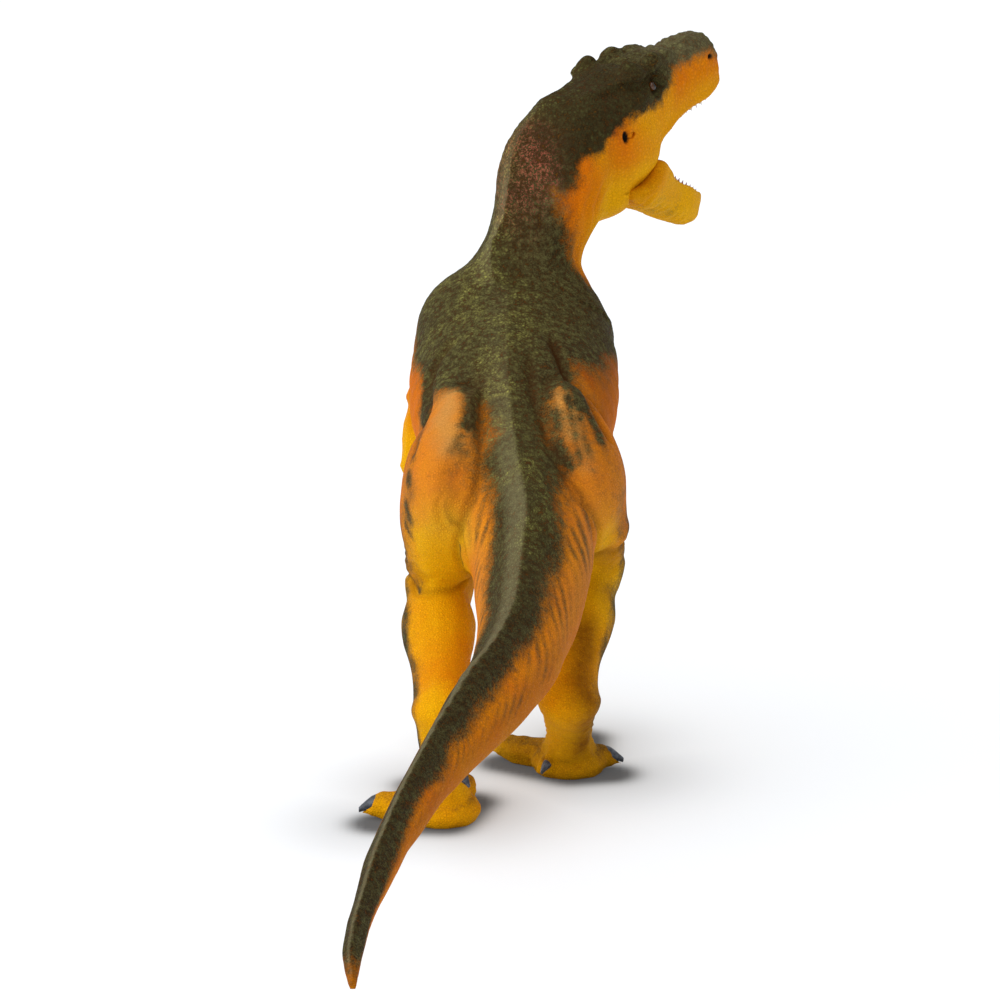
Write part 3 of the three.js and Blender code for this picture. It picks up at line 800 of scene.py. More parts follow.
@dataclass(frozen=True)
class VinylPaint:
    """Hand-painted vinyl hide: base coats, soft dark stripes, scale grooves washed dark with painted shade in
    the creases, dry-brushed tops with some painted highlight, and painted highlight and painted shade beside
    the crest and on the right side away from the light.
    """

    name: str = "painted_hide"
    coarse: float = 1.0
    fine: float = 0.62
    gold: str = "F0B000"
    orange: str = "E07400"
    peach: str = "C49C58"
    dark: str = "272110"
    moss: str = "5A5834"
    pale: str = "7E7858"
    drybrush_and_highlight: str = "A09C4C"
    wash_and_crease_shade: str = "3A1E02"
    flush: str = "B0604A"
    rust: str = "B43A00"
    painted_shade_umber: str = "6E3C00"
    fleck: str = "A05A00"
    pit: str = "1C180C"
    dusk: str = "1C180A"
    ink: str = "0E0B08"

    def make(self) -> bpy.types.Material:
        """Builds the hide's material.

        Returns:
            The material.
        """
        r = Recipe(self.name)
        back, knobs = r.mask("dark"), r.mask("coarse")
        big, small = r.scales(self.coarse), r.scales(self.fine)
        scale_top = small + knobs * (big - small)
        blotch, grain, speck = r.clouds(9, 3), r.clouds(1.5, 5, 0.7), r.clouds(0.42, 3, 0.6)
        warm = r.mask("warm") + (blotch - 0.5) * 0.6 + (grain - 0.5) * 0.3
        flesh = r.paint(warm, rgb(self.gold), rgb(self.orange))
        flesh = r.paint(r.mask("peach") * (0.45 + blotch * 0.5), flesh, rgb(self.peach))
        flesh = r.paint(r.mask("rust") * (0.3 + grain), flesh, rgb(self.rust))
        flesh = r.paint(((speck - 0.5) * 0.9 + 0.06).clear(), flesh, rgb(self.fleck))
        # Painted shade: umber laid over the right leg, the right foot, the right flank and the tail's right
        # side, away from the light.
        flesh = r.paint(r.mask("shade") * (0.55 + grain * 0.6), flesh, rgb(self.painted_shade_umber))
        # The dark band's own paint, dark and moss with dark specks; painted highlight and painted shade go
        # over it below.
        shade = r.paint(grain.step(0.34, 0.68), rgb(self.dark), rgb(self.moss))
        shade = r.paint(speck.step(0.47, 0.62) * 0.7, shade, rgb(self.pit))
        cover = (back + (grain - 0.5) * 0.8 + (speck - 0.5) * 0.7).step(0.02, 1.0)
        # Painted highlight: pale on the left of the crest and on the top of the snout, where the light falls.
        shade = r.paint(r.mask("lit") * (0.2 + grain * 0.8), shade, rgb(self.pale))
        # Painted shade: dusk on the right of the crest; the same dusk also gives the back of the head and the
        # nape their own dark paint.
        shade = r.paint(r.mask("dim") * (0.4 + grain * 0.7), shade, rgb(self.dusk))
        coat = r.paint(cover, flesh, shade)
        patch = 0.35 + 0.75 * blotch.step(0.42, 0.6)
        tops = (0.35 + 0.65 * scale_top) * (grain.step(0.44, 0.7) * 0.6 + speck.step(0.45, 0.62) * 0.4)
        tops = tops * patch * r.mask("drybrush_and_highlight")
        coat = r.paint(tops.clear(), coat, rgb(self.drybrush_and_highlight))
        flush = r.mask("flush") * speck.step(0.44, 0.58) * (grain.step(0.4, 0.6) + 0.2)
        coat = r.paint(flush, coat, rgb(self.flush))
        # The scale grooves washed dark, the figure's own paint, and painted shade in the creases.
        groove = (1 - scale_top) * (0.18 + 0.12 * back) + r.mask("crease") * 0.75
        coat = r.paint(groove.clear(), coat, rgb(self.wash_and_crease_shade))
        coat = r.paint(r.mask("black"), coat, rgb(self.ink))
        rough = 0.58 + 0.14 * grain + 0.1 * (1 - scale_top)
        normal = r.bump(scale_top, 0.11)
        normal = r.bump(grain, 0.2, normal)
        normal = r.bump(speck, 0.06, normal)
        return r.finish(Base_Color=coat, Roughness=rough, Normal=normal, Specular_IOR_Level=0.06)


@dataclass(frozen=True)
class ClawPaint:
    """Slate claws: smooth gloss over dark vinyl with faint streaks and pale specks."""

    name: str = "claw_slate"
    deep: str = "23262C"
    light: str = "4C525E"
    dust: str = "8D8F90"

    def make(self) -> bpy.types.Material:
        """Builds the claws' material.

        Returns:
            The material.
        """
        r = Recipe(self.name)
        streak, dust = r.clouds(1.2, 6, 0.7), r.clouds(0.3, 3)
        coat = r.paint(streak.step(0.35, 0.7), rgb(self.deep), rgb(self.light))
        coat = r.paint(dust.step(0.62, 0.8) * 0.5, coat, rgb(self.dust))
        normal = r.bump(streak, 0.1)
        return r.finish(Base_Color=coat, Roughness=0.25 + 0.2 * dust, Normal=normal)


@dataclass(frozen=True)
class ToothPaint:
    """Off-white teeth with brown at the gum line and a glossy coat."""

    name: str = "tooth_ivory"
    light: str = "E9DFC6"
    deep: str = "D3BE93"
    gum: str = "7A4A30"

    def make(self) -> bpy.types.Material:
        """Builds the teeth's material.

        Returns:
            The material.
        """
        r = Recipe(self.name)
        stain, grain = r.mask("root"), r.clouds(0.5, 4)
        coat = r.paint(grain.step(0.3, 0.75), rgb(self.light), rgb(self.deep))
        coat = r.paint((stain + (grain - 0.5) * 0.4).step(0.35, 0.9), coat, rgb(self.gum))
        normal = r.bump(grain, 0.05)
        return r.finish(Base_Color=coat, Roughness=0.22 + 0.2 * grain, Normal=normal, Coat_Weight=0.4)


@dataclass(frozen=True)
class MouthPaint:
    """Glossy flesh red inside the mouth, darker in its folds."""

    name: str = "mouth_flesh"
    light: str = "B5605A"
    deep: str = "6E2A26"
    pale: str = "D08A80"

    def make(self) -> bpy.types.Material:
        """Builds the mouth's material.

        Returns:
            The material.
        """
        r = Recipe(self.name)
        folds, grain = r.clouds(1.8, 4, 0.6), r.clouds(0.4, 3)
        coat = r.paint(folds.step(0.3, 0.7), rgb(self.deep), rgb(self.light))
        coat = r.paint(grain.step(0.6, 0.85) * 0.5, coat, rgb(self.pale))
        normal = r.bump(grain, 0.06, r.bump(folds, 0.3))
        return r.finish(Base_Color=coat, Roughness=0.28 + 0.2 * grain, Normal=normal, Coat_Weight=0.3)


@dataclass(frozen=True)
class EyePaint:
    """A glossy amber eye with a dark slit."""

    name: str = "eye_gloss"
    amber: str = "6A3A08"
    brown: str = "2E1404"
    slit: str = "070605"

    def make(self) -> bpy.types.Material:
        """Builds the eye's material.

        Returns:
            The material.
        """
        r = Recipe(self.name)
        grain = r.clouds(0.4, 3)
        coat = r.paint(grain, rgb(self.amber), rgb(self.brown))
        coat = r.paint(r.mask("pupil"), coat, rgb(self.slit))
        return r.finish(Base_Color=coat, Roughness=0.16 + 0.08 * grain, Coat_Weight=0.15)


@dataclass(frozen=True)
class PinMetal:
    """Drawn steel wire with fine scratches."""

    name: str = "pin_steel"
    light: str = "B9BCC0"
    deep: str = "8E9194"

    def make(self) -> bpy.types.Material:
        """Builds the pin's material.

        Returns:
            The material.
        """
        r = Recipe(self.name)
        scratch, haze = r.clouds(0.3, 6, 0.8), r.clouds(3, 3)
        coat = r.paint(haze, rgb(self.light), rgb(self.deep))
        normal = r.bump(scratch, 0.02)
        return r.finish(Base_Color=coat, Metallic=1.0, Roughness=0.3 + 0.2 * scratch, Normal=normal)


# The hide.


@dataclass(frozen=True)
class Groove:
    """A groove over the hips: how far round the back it lies along the spine, its depth, width and painted
    shade.
    """

    along: tuple[float, ...]
    turn: tuple[float, ...]
    depth: float
    width: float
    shade: float

    def closeness(self, along: np.ndarray, turn: np.ndarray, widen: float = 1.0) -> np.ndarray:
        """How near the groove's middle each point lies, from 0 to 1.

        Args:
            along: how far along the spine each lies, in millimetres.
            turn: how far round the spine each lies, in degrees.
            widen: how many times wider the groove is taken.

        Returns:
            One number a point.
        """
        middle = np.interp(along, self.along, self.turn)
        first, last = self.along[0], self.along[-1]
        ends = soft(along, first - 3, first + 2) * (1 - soft(along, last - 2, last + 4))
        return bell(turn, middle, self.width * widen) * ends


GROOVES = (
    Groove((171, 176, 181, 192, 197, 205, 220), (83, 56, 38, 24, 21, 15, 12), 0.9, 5.0, 0.55),
    Groove(
        (172, 177, 180, 184, 188, 194, 202, 216), (-102, -76, -60, -53, -44, -32, -30, -31), 0.7, 5.0, 0.4,
    ),
    Groove((196, 203, 210, 218, 223, 229), (63, 53, 47, 40, 35, 28), 1.7, 4.4, 1.0),
    Groove((196, 202, 221, 226, 231), (-70, -67, -66, -60, -48), 1.0, 5.0, 0.5),
)


@dataclass(frozen=True)
class Stroke:
    """A row of soft touches of the airbrush, some of them painted shade and painted highlight: one coat added,
    or wiped off where the strength is negative.
    """

    coat: str
    strength: float
    radius: float
    places: tuple[tuple[float, float, float], ...]

    def cover(self, points: np.ndarray, wobble: np.ndarray) -> np.ndarray:
        """How much of the stroke, drawn as a line through its places, reaches each point.

        Args:
            points: drawing points in millimetres, one a row.
            wobble: how far each point strays from its place.

        Returns:
            Numbers from 0 to 1.
        """
        gaps = []
        for start, end in zip(self.places, self.places[1:]):
            run = np.array(end, float) - start
            share = np.clip((points - start) @ run / (run @ run), 0, 1)
            gaps.append(np.linalg.norm(points - start - share[:, None] * run, axis=1))
        steady = min(0.22 if self.coat == "shade" else 0.4, 0.16 * self.radius)
        return np.exp(-(((np.min(gaps, axis=0) + steady * wobble) / self.radius) ** 2))


STROKES = (
    Stroke("dark", 0.85, 3.6, ((-18, 43, 98), (-19, 39, 95), (-20, 34, 91), (-21, 31, 87))),
    Stroke("dark", 0.5, 3.2, ((-21, 31, 87), (-22, 20, 87), (-22, 13, 86))),
    Stroke("dark", 0.9, 6.0, ((-18, 44, 99), (-12, 36, 99), (-10, 30, 98))),
    Stroke("dark", 0.55, 5.0, ((-18, 36, 96), (-13, 31, 96))),
    Stroke("dark", 0.35, 5.5, ((-18, 28, 92), (-13, 24, 95))),
    Stroke("dark", 0.8, 6.0, ((-21, 52, 99), (-20, 58, 103), (-18, 64, 106))),
    Stroke("dark", 0.7, 2.6, ((-11, 30, 97), (-10, 20, 96), (-10, 13, 96), (-10, 8, 92))),
    Stroke("dark", 0.7, 3.2, ((-7, 30, 99), (-7, 20, 97), (-7, 12, 95), (-7, 6, 92))),
    Stroke("dark", 0.55, 2.4, ((-10, 8, 92), (-12, 4, 89), (-13, 1, 87))),
    Stroke("dark", 0.8, 4.2, ((8, 37, 101), (7, 28, 98), (10, 31, 98))),
    Stroke("dark", 0.75, 2.0, ((8, 36, 101), (12, 29, 96), (16, 15, 94), (19, 12, 90), (21, 7, 86))),
    Stroke("dark", 0.85, 8.0, ((23, 66, 102), (20, 58, 102), (17, 46, 101))),
    Stroke("dark", 0.6, 1.5, ((8, 29, 97), (9, 14, 95), (10, 8, 91), (11, 2, 86), (13, -2, 83))),
    Stroke("dark", 0.55, 1.0, ((12, 26, 96), (13, 13, 94), (14, 8, 91), (15, 3, 87), (16, -1, 83))),
    Stroke("dark", 0.5, 1.0, ((15, 16, 96), (16, 11, 92), (17, 6, 88), (18, 1, 85), (19, -3, 81))),
    Stroke("dark", 0.6, 1.8, ((-23, 10, 84), (-22, 7, 81), (-21, 6, 79))),
    Stroke("dark", 0.6, 1.7, ((-25, 6, 78), (-23, 3, 76), (-22, 2, 74))),
    Stroke("dark", 0.5, 1.6, ((-25, 4, 72), (-24, 2, 69), (-23, 1, 68))),
    Stroke("dark", 0.45, 1.5, ((-25, 4, 66), (-24, 2, 64))),
    Stroke("dark", 0.95, 4.2, ((13, 76, 148), (15, 75, 144), (20, 77, 146), (22, 78, 149))),
    Stroke("dark", 0.8, 3.0, ((13, 74, 144), (13, 73, 139), (14, 73, 135))),
    Stroke("dark", -0.7, 3.2, ((-15, 16, 96), (-16, 11, 92), (-17, 6, 88))),
    Stroke("dark", -0.4, 1.6, ((10, 18, 96), (11, 10, 93), (12, 5, 89), (13, 0, 85))),
    Stroke("peach", 0.75, 4.4, ((-15, 22, 96), (-15, 13, 93), (-16, 9, 90), (-14, 2, 87))),
    Stroke("peach", 0.7, 2.6, ((10, 18, 96), (11, 10, 93), (12, 5, 89))),
    Stroke("peach", 0.6, 2.4, ((14, 14, 94), (16, 3, 87), (17, -1, 83))),
    # Dry-brush along the back just left of the crest: partly the figure's own dry-brush, partly painted
    # highlight on the lit side.
    Stroke("drybrush_and_highlight", 0.8, 4.8, (
        (-3, 32, 100), (-4, 23, 96), (-3, 14, 92), (-2, 6, 88), (-3, 0, 85), (-2, -7, 82),
    )),
    Stroke("drybrush_and_highlight", 0.8, 5.5, ((-4, 64, 111), (-6, 58, 109), (-2, 52, 107), (-3, 43, 104))),
    Stroke("warm", -0.9, 6.5, ((-13, -5, 67), (-18, -3, 64), (-14, 0, 59))),
    Stroke("warm", -0.5, 6.0, ((-18, -25, 33), (-16, -20, 24))),
    Stroke("warm", -0.5, 6.0, ((23, 6, 63), (21, 4, 66))),
    Stroke("rust", 0.75, 1.9, ((13, 40, 101), (15, 36, 98), (18, 34, 94))),
    Stroke("rust", 0.85, 1.5, ((34, 93, 158), (34, 91, 155), (33, 90, 152))),
    Stroke("rust", 0.8, 1.8, ((23, 81, 155), (25, 80, 151), (25, 79, 147))),
    Stroke("rust", 0.35, 3.5, ((24, 79, 142), (26, 79, 136))),
    Stroke("flush", 0.5, 4.4, ((-3, 81, 133), (1, 79, 142), (4, 74, 139), (2, 74, 133), (-2, 76, 128))),
    Stroke("flush", 0.4, 3.5, ((4, 79, 147), (8, 73, 139), (9, 73, 133))),
    # Painted shade on the side away from the light: down the back of the right leg, under the right knee, over
    # the right foot, the right flank and the right hip.
    Stroke("shade", 0.9, 4.6, (
        (19, -2, 56), (17, 6, 40), (17, 2, 34), (17, -3, 28), (18, -3, 21), (18, 9, 11),
    )),
    Stroke("shade", 0.5, 5.0, ((20, 10, 56), (24, 17, 54), (24, 14, 48))),
    Stroke("shade", 0.75, 9.0, ((0, 24, 4), (14, 18, 4), (24, 22, 4))),
    Stroke("shade", 0.55, 9.0, ((22, 29, 88), (24, 40, 94), (25, 54, 96), (26, 62, 88))),
    Stroke("shade", 0.4, 6.0, ((18, 4, 80), (20, 8, 86), (14, 2, 84))),
    Stroke("dark", 0.12, 6.0, ((12, 6, 89), (15, 2, 84), (18, 4, 84))),
    Stroke("dark", 0.35, 3.0, ((-26, 2, 46), (-27, -1, 39), (-26, -8, 36), (-24, -15, 31), (-22, -20, 20))),
    # Painted shade in the fold behind the left knee, and over the tail tip.
    Stroke("shade", 0.5, 3.0, ((-24, 11, 50), (-22, 7, 53))),
    Stroke("shade", 0.6, 5.0, ((-32, -168, 20), (-32, -158, 26))),
    Stroke("dark", -0.75, 4.0, ((-32, -168, 20), (-31, -164, 21))),
)


@dataclass(frozen=True)
class Lie:
    """Where each point of a piece of hide lies: in the drawing, by the spine, and on leg, neck and head."""

    name: str
    points: np.ndarray
    facing: np.ndarray
    along: np.ndarray
    turn: np.ndarray
    head: dict[str, np.ndarray]
    on_leg: np.ndarray
    neck_end: np.ndarray

    @property
    def side(self) -> Side:
        """The side of a limb, from its node's name."""
        return Side.RIGHT if "right" in self.name else Side.LEFT


@dataclass
class HidePattern:
    """Where each coat of paint, and each painted highlight and painted shade, lies on the hide, in drawing
    coordinates.
    """

    stance: Stance
    spine: Spine
    band_along: tuple[float, ...] = (
        0, 30, 60, 90, 120, 150, 172, 190, 205, 222, 235, 248, 262, 272, 282, 291, 300, 310,
    )
    band_angle: tuple[float, ...] = (
        104, 88, 62, 56, 54, 46, 38, 32, 36, 50, 60, 80, 104, 108, 98, 78, 56, 46,
    )
    band_soft: tuple[float, ...] = (
        20, 20, 20, 19, 18, 17, 16, 15, 17, 24, 26, 28, 26, 24, 22, 20, 18, 16,
    )
    middle_along: tuple[float, ...] = (0, 60, 120, 150, 175, 200)
    middle_turn: tuple[float, ...] = (0, -10, -18, -12, -4, 0)
    # How strong the painted highlight and painted shade beside the crest are, along the back.
    crest_along: tuple[float, ...] = (0, 30, 170, 205, 230, 262, 280, 318)
    crest_light: tuple[float, ...] = (1, 1, 0.9, 0.5, 0.15, 0.1, 0.8, 0.9)
    stripe_pitch: float = 4.7
    stripe_slant: float = 0.19
    head_edge_forward: tuple[float, ...] = (
        -26, -20, -16, -12, -8, -4, 2, 8, 11.5, 13, 18, 22, 31, 36, 42,
    )
    head_edge_up: tuple[float, ...] = (
        3.0, 5.5, 7.5, 9.8, 12.0, 13.2, 12.3, 11.5, 11.3, 13, 14.2, 17, 16.5, 15.5, 12,
    )

    def stripes(self, points: np.ndarray, along: np.ndarray, turn: np.ndarray) -> np.ndarray:
        """Soft dark chevrons that run down and back from the spine over tail, hips and thighs.

        Args:
            points: drawing points in millimetres, one a row.
            along: how far along the spine each lies, in millimetres.
            turn: how far round the spine each lies, in degrees.

        Returns:
            How dark the stripes are at each point.
        """
        sway = clouds(points, 16, 3.1)
        phase = (along + self.stripe_slant * np.abs(turn) + 2.6 * sway) / self.stripe_pitch
        wave = 0.5 + 0.5 * np.cos(2 * math.pi * phase)
        broken = 0.5 + 0.5 * soft(clouds(points, 12, 7.7), -0.5, 0.35)
        reach = 1 - soft(np.abs(turn) + 16 * clouds(points, 7, 8.1), 56, 112)
        place = soft(along, 14, 60) * (1 - soft(along, 192, 206))
        return wave**0.6 * broken * reach * place * np.interp(along, (40, 120, 170), (0.7, 0.85, 0.9))

    def thigh_stripes(self, points: np.ndarray, side: int) -> np.ndarray:
        """Streaks down the hip panels, and short ones that come round from the outside of the thigh.

        Args:
            points: drawing points in millimetres, one a row.
            side: 1 on the animal's right, -1 on its left.

        Returns:
            How dark the stripes are at each point.
        """
        out, height = side * points[:, 0], points[:, 2]
        sway = clouds(points, 9, 4.1)
        streak = 0.5 + 0.5 * np.cos(2 * math.pi * (out + 0.42 * height + 0.7 * sway) / 4.4)
        panel = soft(height, 62, 74) * (1 - soft(height, 84, 92)) * (0.7 if side > 0 else 0.25)
        edge = 0.5 + 0.5 * np.cos(2 * math.pi * (height + side * 0.9 * out + 1.6 * sway) / 6.4)
        rim = soft(out, 21, 30) if side < 0 else soft(out, 19, 27)
        low = soft(height, 50, 58) * (1 - soft(height, 84, 92))
        broken = 0.6 + 0.4 * soft(clouds(points, 11, 5.7), -0.5, 0.4)
        return np.maximum(0.5 * soft(streak, 0.0, 1) * panel, 0.6 * soft(edge, 0.1, 1) * rim * low) * broken

    def head_masks(self, points: np.ndarray) -> dict[str, np.ndarray]:
        """The dark roof, ear, nostril and snout places, from the head's own frame.

        Args:
            points: drawing points in millimetres, one a row.

        Returns:
            The masks by name, and each point's place forward and up.
        """
        across, forward, up = self.stance.within(self.stance.head(), points).T
        edge = np.interp(forward, self.head_edge_forward, self.head_edge_up) - 0.4
        ragged = up + 1.1 * clouds(points, 4, 1.3) + 0.7 * clouds(points, 1.4, 2.3)
        roof = soft(ragged, edge - 3.4, edge + 2.6)
        ear = soft(1.0 - np.hypot((forward - EAR_AT[0]) / 1.2, (up - EAR_AT[1]) / 1.9), 0, 0.3)
        nostril = soft(1.0 - np.hypot((forward - NOSTRIL_AT[0]) / 1.2, (up - NOSTRIL_AT[1]) / 0.8), 0, 0.5)
        eye = 0.6 * bell(np.hypot(forward - EYE_AT[0], up - EYE_AT[1]), 0, 2.4)
        side = soft(np.abs(across), 4, 6)
        black = np.maximum(ear * side, nostril * soft(np.abs(across), 2, 4))
        return {"roof": roof, "black": np.maximum(black, eye * side), "up": up, "forward": forward}

    def leg_shade(self, points: np.ndarray, facing: np.ndarray, side: int) -> np.ndarray:
        """The olive down the outside of each shank and over the tops of the toes.

        Args:
            points: drawing points in millimetres, one a row.
            facing: the way that the hide faces at each point.
            side: 1 on the animal's right, -1 on its left.

        Returns:
            How dark the olive is at each point.
        """
        height = points[:, 2]
        outer = soft(side * facing[:, 0] + 0.3 * facing[:, 1] + 0.12 * clouds(points, 6, 3.7), 0.5, 1.0)
        shank = outer * soft(height, 8, 20) * (1 - 0.6 * soft(height, 60, 74)) * (1 - soft(height, 84, 94))
        toes = soft(facing[:, 2], 0.1, 0.8) * (1 - soft(height, 9, 15)) * soft(height, 2, 6)
        speckle = 0.7 + 0.3 * soft(clouds(points, 5, 2.2), -0.4, 0.6)
        return (0.8 * shank + 0.5 * toes) * speckle

    def lie(self, mesh: bpy.types.Mesh, name: str) -> Lie:
        """Finds where each point of a piece lies.

        Args:
            mesh: the piece's mesh.
            name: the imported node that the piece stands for.

        Returns:
            The places.
        """
        points = self.stance.to_drawing(points_of(mesh))
        along, turn = self.spine.locate(points)
        head = self.head_masks(points)
        on_leg = (1 - soft(points[:, 2], 56, 72)) if "leg" in name else np.zeros(len(points))
        if "arm" in name:
            on_leg = 1 - 0.5 * soft(points[:, 2], 74, 88)
        neck_end = soft(head["forward"] + 0.25 * head["up"], -17, -10) * soft(along, 288, 298)
        return Lie(name, points, normals_of(mesh), along, turn, head, on_leg, neck_end)

    def dark(self, lie: Lie) -> np.ndarray:
        """The band down the back, the stripes, the head's roof and the olive of the limbs.

        Args:
            lie: where the piece's points lie.

        Returns:
            How dark the hide is at each point.
        """
        points, along, height = lie.points, lie.along, lie.points[:, 2]
        edge = np.interp(along, self.band_along, self.band_angle)
        width = 1.5 * np.interp(along, self.band_along, self.band_soft)
        wander = 9 * clouds(points, 11, 5.0) + 4 * clouds(points, 2.4, 9.0)
        centre = np.interp(along, self.middle_along, self.middle_turn)
        band = 1 - soft(np.abs(lie.turn - centre) + wander, edge - width, edge + width)
        stripes = 0.72 * self.stripes(points, along, lie.turn)
        cap = 0.0
        if "leg" in lie.name:
            stripes = 0.8 * self.thigh_stripes(points, lie.side.value)
            if lie.side is Side.RIGHT:
                cap = 0.5 * soft(height + 1.6 * clouds(points, 6, 6.0), 83, 97)
            inner = 1 - soft(lie.side.value * points[:, 0], 8, 13)
            cap = np.maximum(cap, 0.5 * inner * soft(height, 66, 82))
        dark = np.maximum(np.maximum(band, cap), stripes) * (1 - lie.on_leg)
        dark = dark * (1 - lie.neck_end) + lie.head["roof"] * lie.neck_end
        if "leg" in lie.name:
            dark = np.maximum(dark, self.leg_shade(points, lie.facing, lie.side.value))
        if "arm" in lie.name:
            front = 0.4 * soft(lie.facing[:, 1], 0.0, 0.9)
            dark = np.maximum(dark, front * soft(clouds(points, 4, 2.7), -0.6, 0.5))
        return dark

    def warm(self, lie: Lie) -> np.ndarray:
        """The turn from gold below to orange above.

        Args:
            lie: where the piece's points lie.

        Returns:
            How orange the hide is at each point.
        """
        points, height, wide = lie.points, lie.points[:, 2], np.abs(lie.turn)
        forward, up = lie.head["forward"], lie.head["up"]
        flank = soft(height + 3 * clouds(points, 9, 3.3), 38, 66)
        belly = soft(wide, 118, 150) * soft(lie.along, 150, 200)
        warm = 0.22 + 0.68 * flank - 0.55 * belly
        if "leg" in lie.name:
            gold = bell(height, 60, 11) * bell(np.abs(points[:, 0] + 2), 16, 8)
            warm = 0.22 + 0.68 * flank + 0.35 * bell(height, 34, 9) - 0.55 * belly - 0.6 * gold
        if "tail" in lie.name:
            warm = 0.85 - 0.25 * soft(wide, 110, 160)
        if "arm" in lie.name:
            warm = 0.75 * soft(height + 2 * clouds(points, 5, 3.9), 70, 84)
        neck = 0.75 - 0.6 * soft(wide, 95, 135) + 0.25 * bell(wide, 72, 12)
        warm = warm + (neck - warm) * soft(lie.along, 258, 290)
        snout = soft(forward, 14, 22) * soft(up, 5, 13)
        cheek = bell(forward, -5.5, 4.5) * soft(up, -8, 6)
        face = 0.42 + 0.45 * snout + 0.5 * cheek - 0.3 * soft(-up, -3, 4)
        return warm * (1 - lie.neck_end) + lie.neck_end * face

    def touches(self, lie: Lie) -> dict[str, np.ndarray]:
        """The thin coats over the band and the flanks, with the painted highlight and painted shade beside the
        crest and down the tail's right side.

        Args:
            lie: where the piece's points lie.

        Returns:
            The cover of each coat by name.
        """
        along, turn, wide, neck_end = lie.along, lie.turn, np.abs(lie.turn), lie.neck_end
        bare = 1 - lie.on_leg
        side = bell(along, 160, 40) * bell(wide, 70, 30)
        # More dry-brush on the left shoulder and neck, on the side the light comes from: partly the figure's
        # own dry-brush, partly painted highlight.
        glow = bell(along, 250, 36) * bell(turn, -34, 34) + bell(along, 296, 26) * bell(turn, -22, 22)
        drybrush_and_highlight = 0.16 * soft(along, 110, 180) + glow
        drybrush_and_highlight += 0.75 * bell(wide, 0, 17) * soft(along, 120, 185) * (1 - soft(along, 240, 262))
        flush = bell(along, 296, 15) * bell(turn, 28, 20)
        flush = flush + 0.35 * bell(along, 205, 14) * bell(turn, -22, 16)
        rust = bell(along, 298, 22) * bell(turn, 56, 9)
        rust = rust + 0.8 * bell(along, 226, 20) * bell(wide, 78, 22)
        crest = np.interp(along, self.crest_along, self.crest_light) * (1 - neck_end) * bare
        under = np.zeros(len(along))
        # Painted shade down the tail's right side and underside, away from the light.
        if lie.name == "tail":
            under = 0.45 * soft(turn, 40, 80) * (1 - soft(turn, 140, 170)) * soft(along, 20, 60)
            under *= (1 - 0.5 * soft(along, 110, 150)) * (1 - soft(along, 178, 200))
        crown = 0.85 * np.maximum(neck_end, soft(along, 296, 306)) * (1 - soft(lie.head["forward"], 2, 14))
        # Painted highlight left of the crest, where the light from the left falls, and painted shade right of
        # it.
        lit = crest * soft(turn, -30, -12) * (1 - soft(turn, -7, -3))
        dim = np.interp(along, (0, 200, 290), (0.35, 0.45, 0.8)) * crest * soft(turn, -5, -2)
        return {
            "peach": 0.3 * side * bare * (1 - neck_end), "drybrush_and_highlight": drybrush_and_highlight * bare,
            "flush": 0.2 * flush * (1 - neck_end), "rust": 0.5 * rust * bare * (1 - neck_end),
            "shade": under,
            # The snout's top also gets the painted highlight.
            "lit": np.maximum(lit, 0.5 * neck_end * soft(lie.head["forward"], 14, 24)),
            # The crown's share is the dark paint of the head's back and the nape.
            "dim": np.maximum(dim * (1 - soft(turn, 10, 30)), crown),
        }

    def masks(self, mesh: bpy.types.Mesh, creases: np.ndarray, name: str) -> None:
        """Writes every paint mask on a piece.

        Args:
            mesh: the piece's mesh.
            creases: how deep in a crease each point lies, from 0 to 1.
            name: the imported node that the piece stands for.
        """
        lie = self.lie(mesh, name)
        points, along, turn, height = lie.points, lie.along, lie.turn, lie.points[:, 2]
        coats = {"dark": self.dark(lie), "warm": self.warm(lie), **self.touches(lie)}
        wobble = 2.2 * clouds(points, 3.4, 6.6) + clouds(points, 1.3, 1.6)
        for stroke in STROKES:
            added = coats[stroke.coat] + stroke.strength * stroke.cover(points, wobble)
            coats[stroke.coat] = np.clip(added, 0, 1)
        # Painted shade in the hip grooves, in the crease between each leg and the body, and in the fold behind
        # each knee.
        grooves = sum(groove.shade * groove.closeness(along, turn, 0.9) for groove in GROOVES)
        knee = np.zeros(len(points))
        if "leg" in name:
            knee = bell(height + 1.2 * clouds(points, 7, 2.8), KNEE_FOLDS[lie.side] - 0.6, 0.9)
        grooves = np.maximum(0.4 * creases, grooves * soft(height, 50, 60))
        coats["crease"] = np.maximum(grooves, 0.35 * knee)
        coats["black"] = lie.head["black"] * lie.neck_end
        scaly = bell(turn, 0, 60) * soft(along, 150, 230)
        coats["coarse"] = np.maximum(scaly, 0.9 if name == "head" else 0.0)
        for coat, cover in coats.items():
            write_mask(mesh, coat, cover)


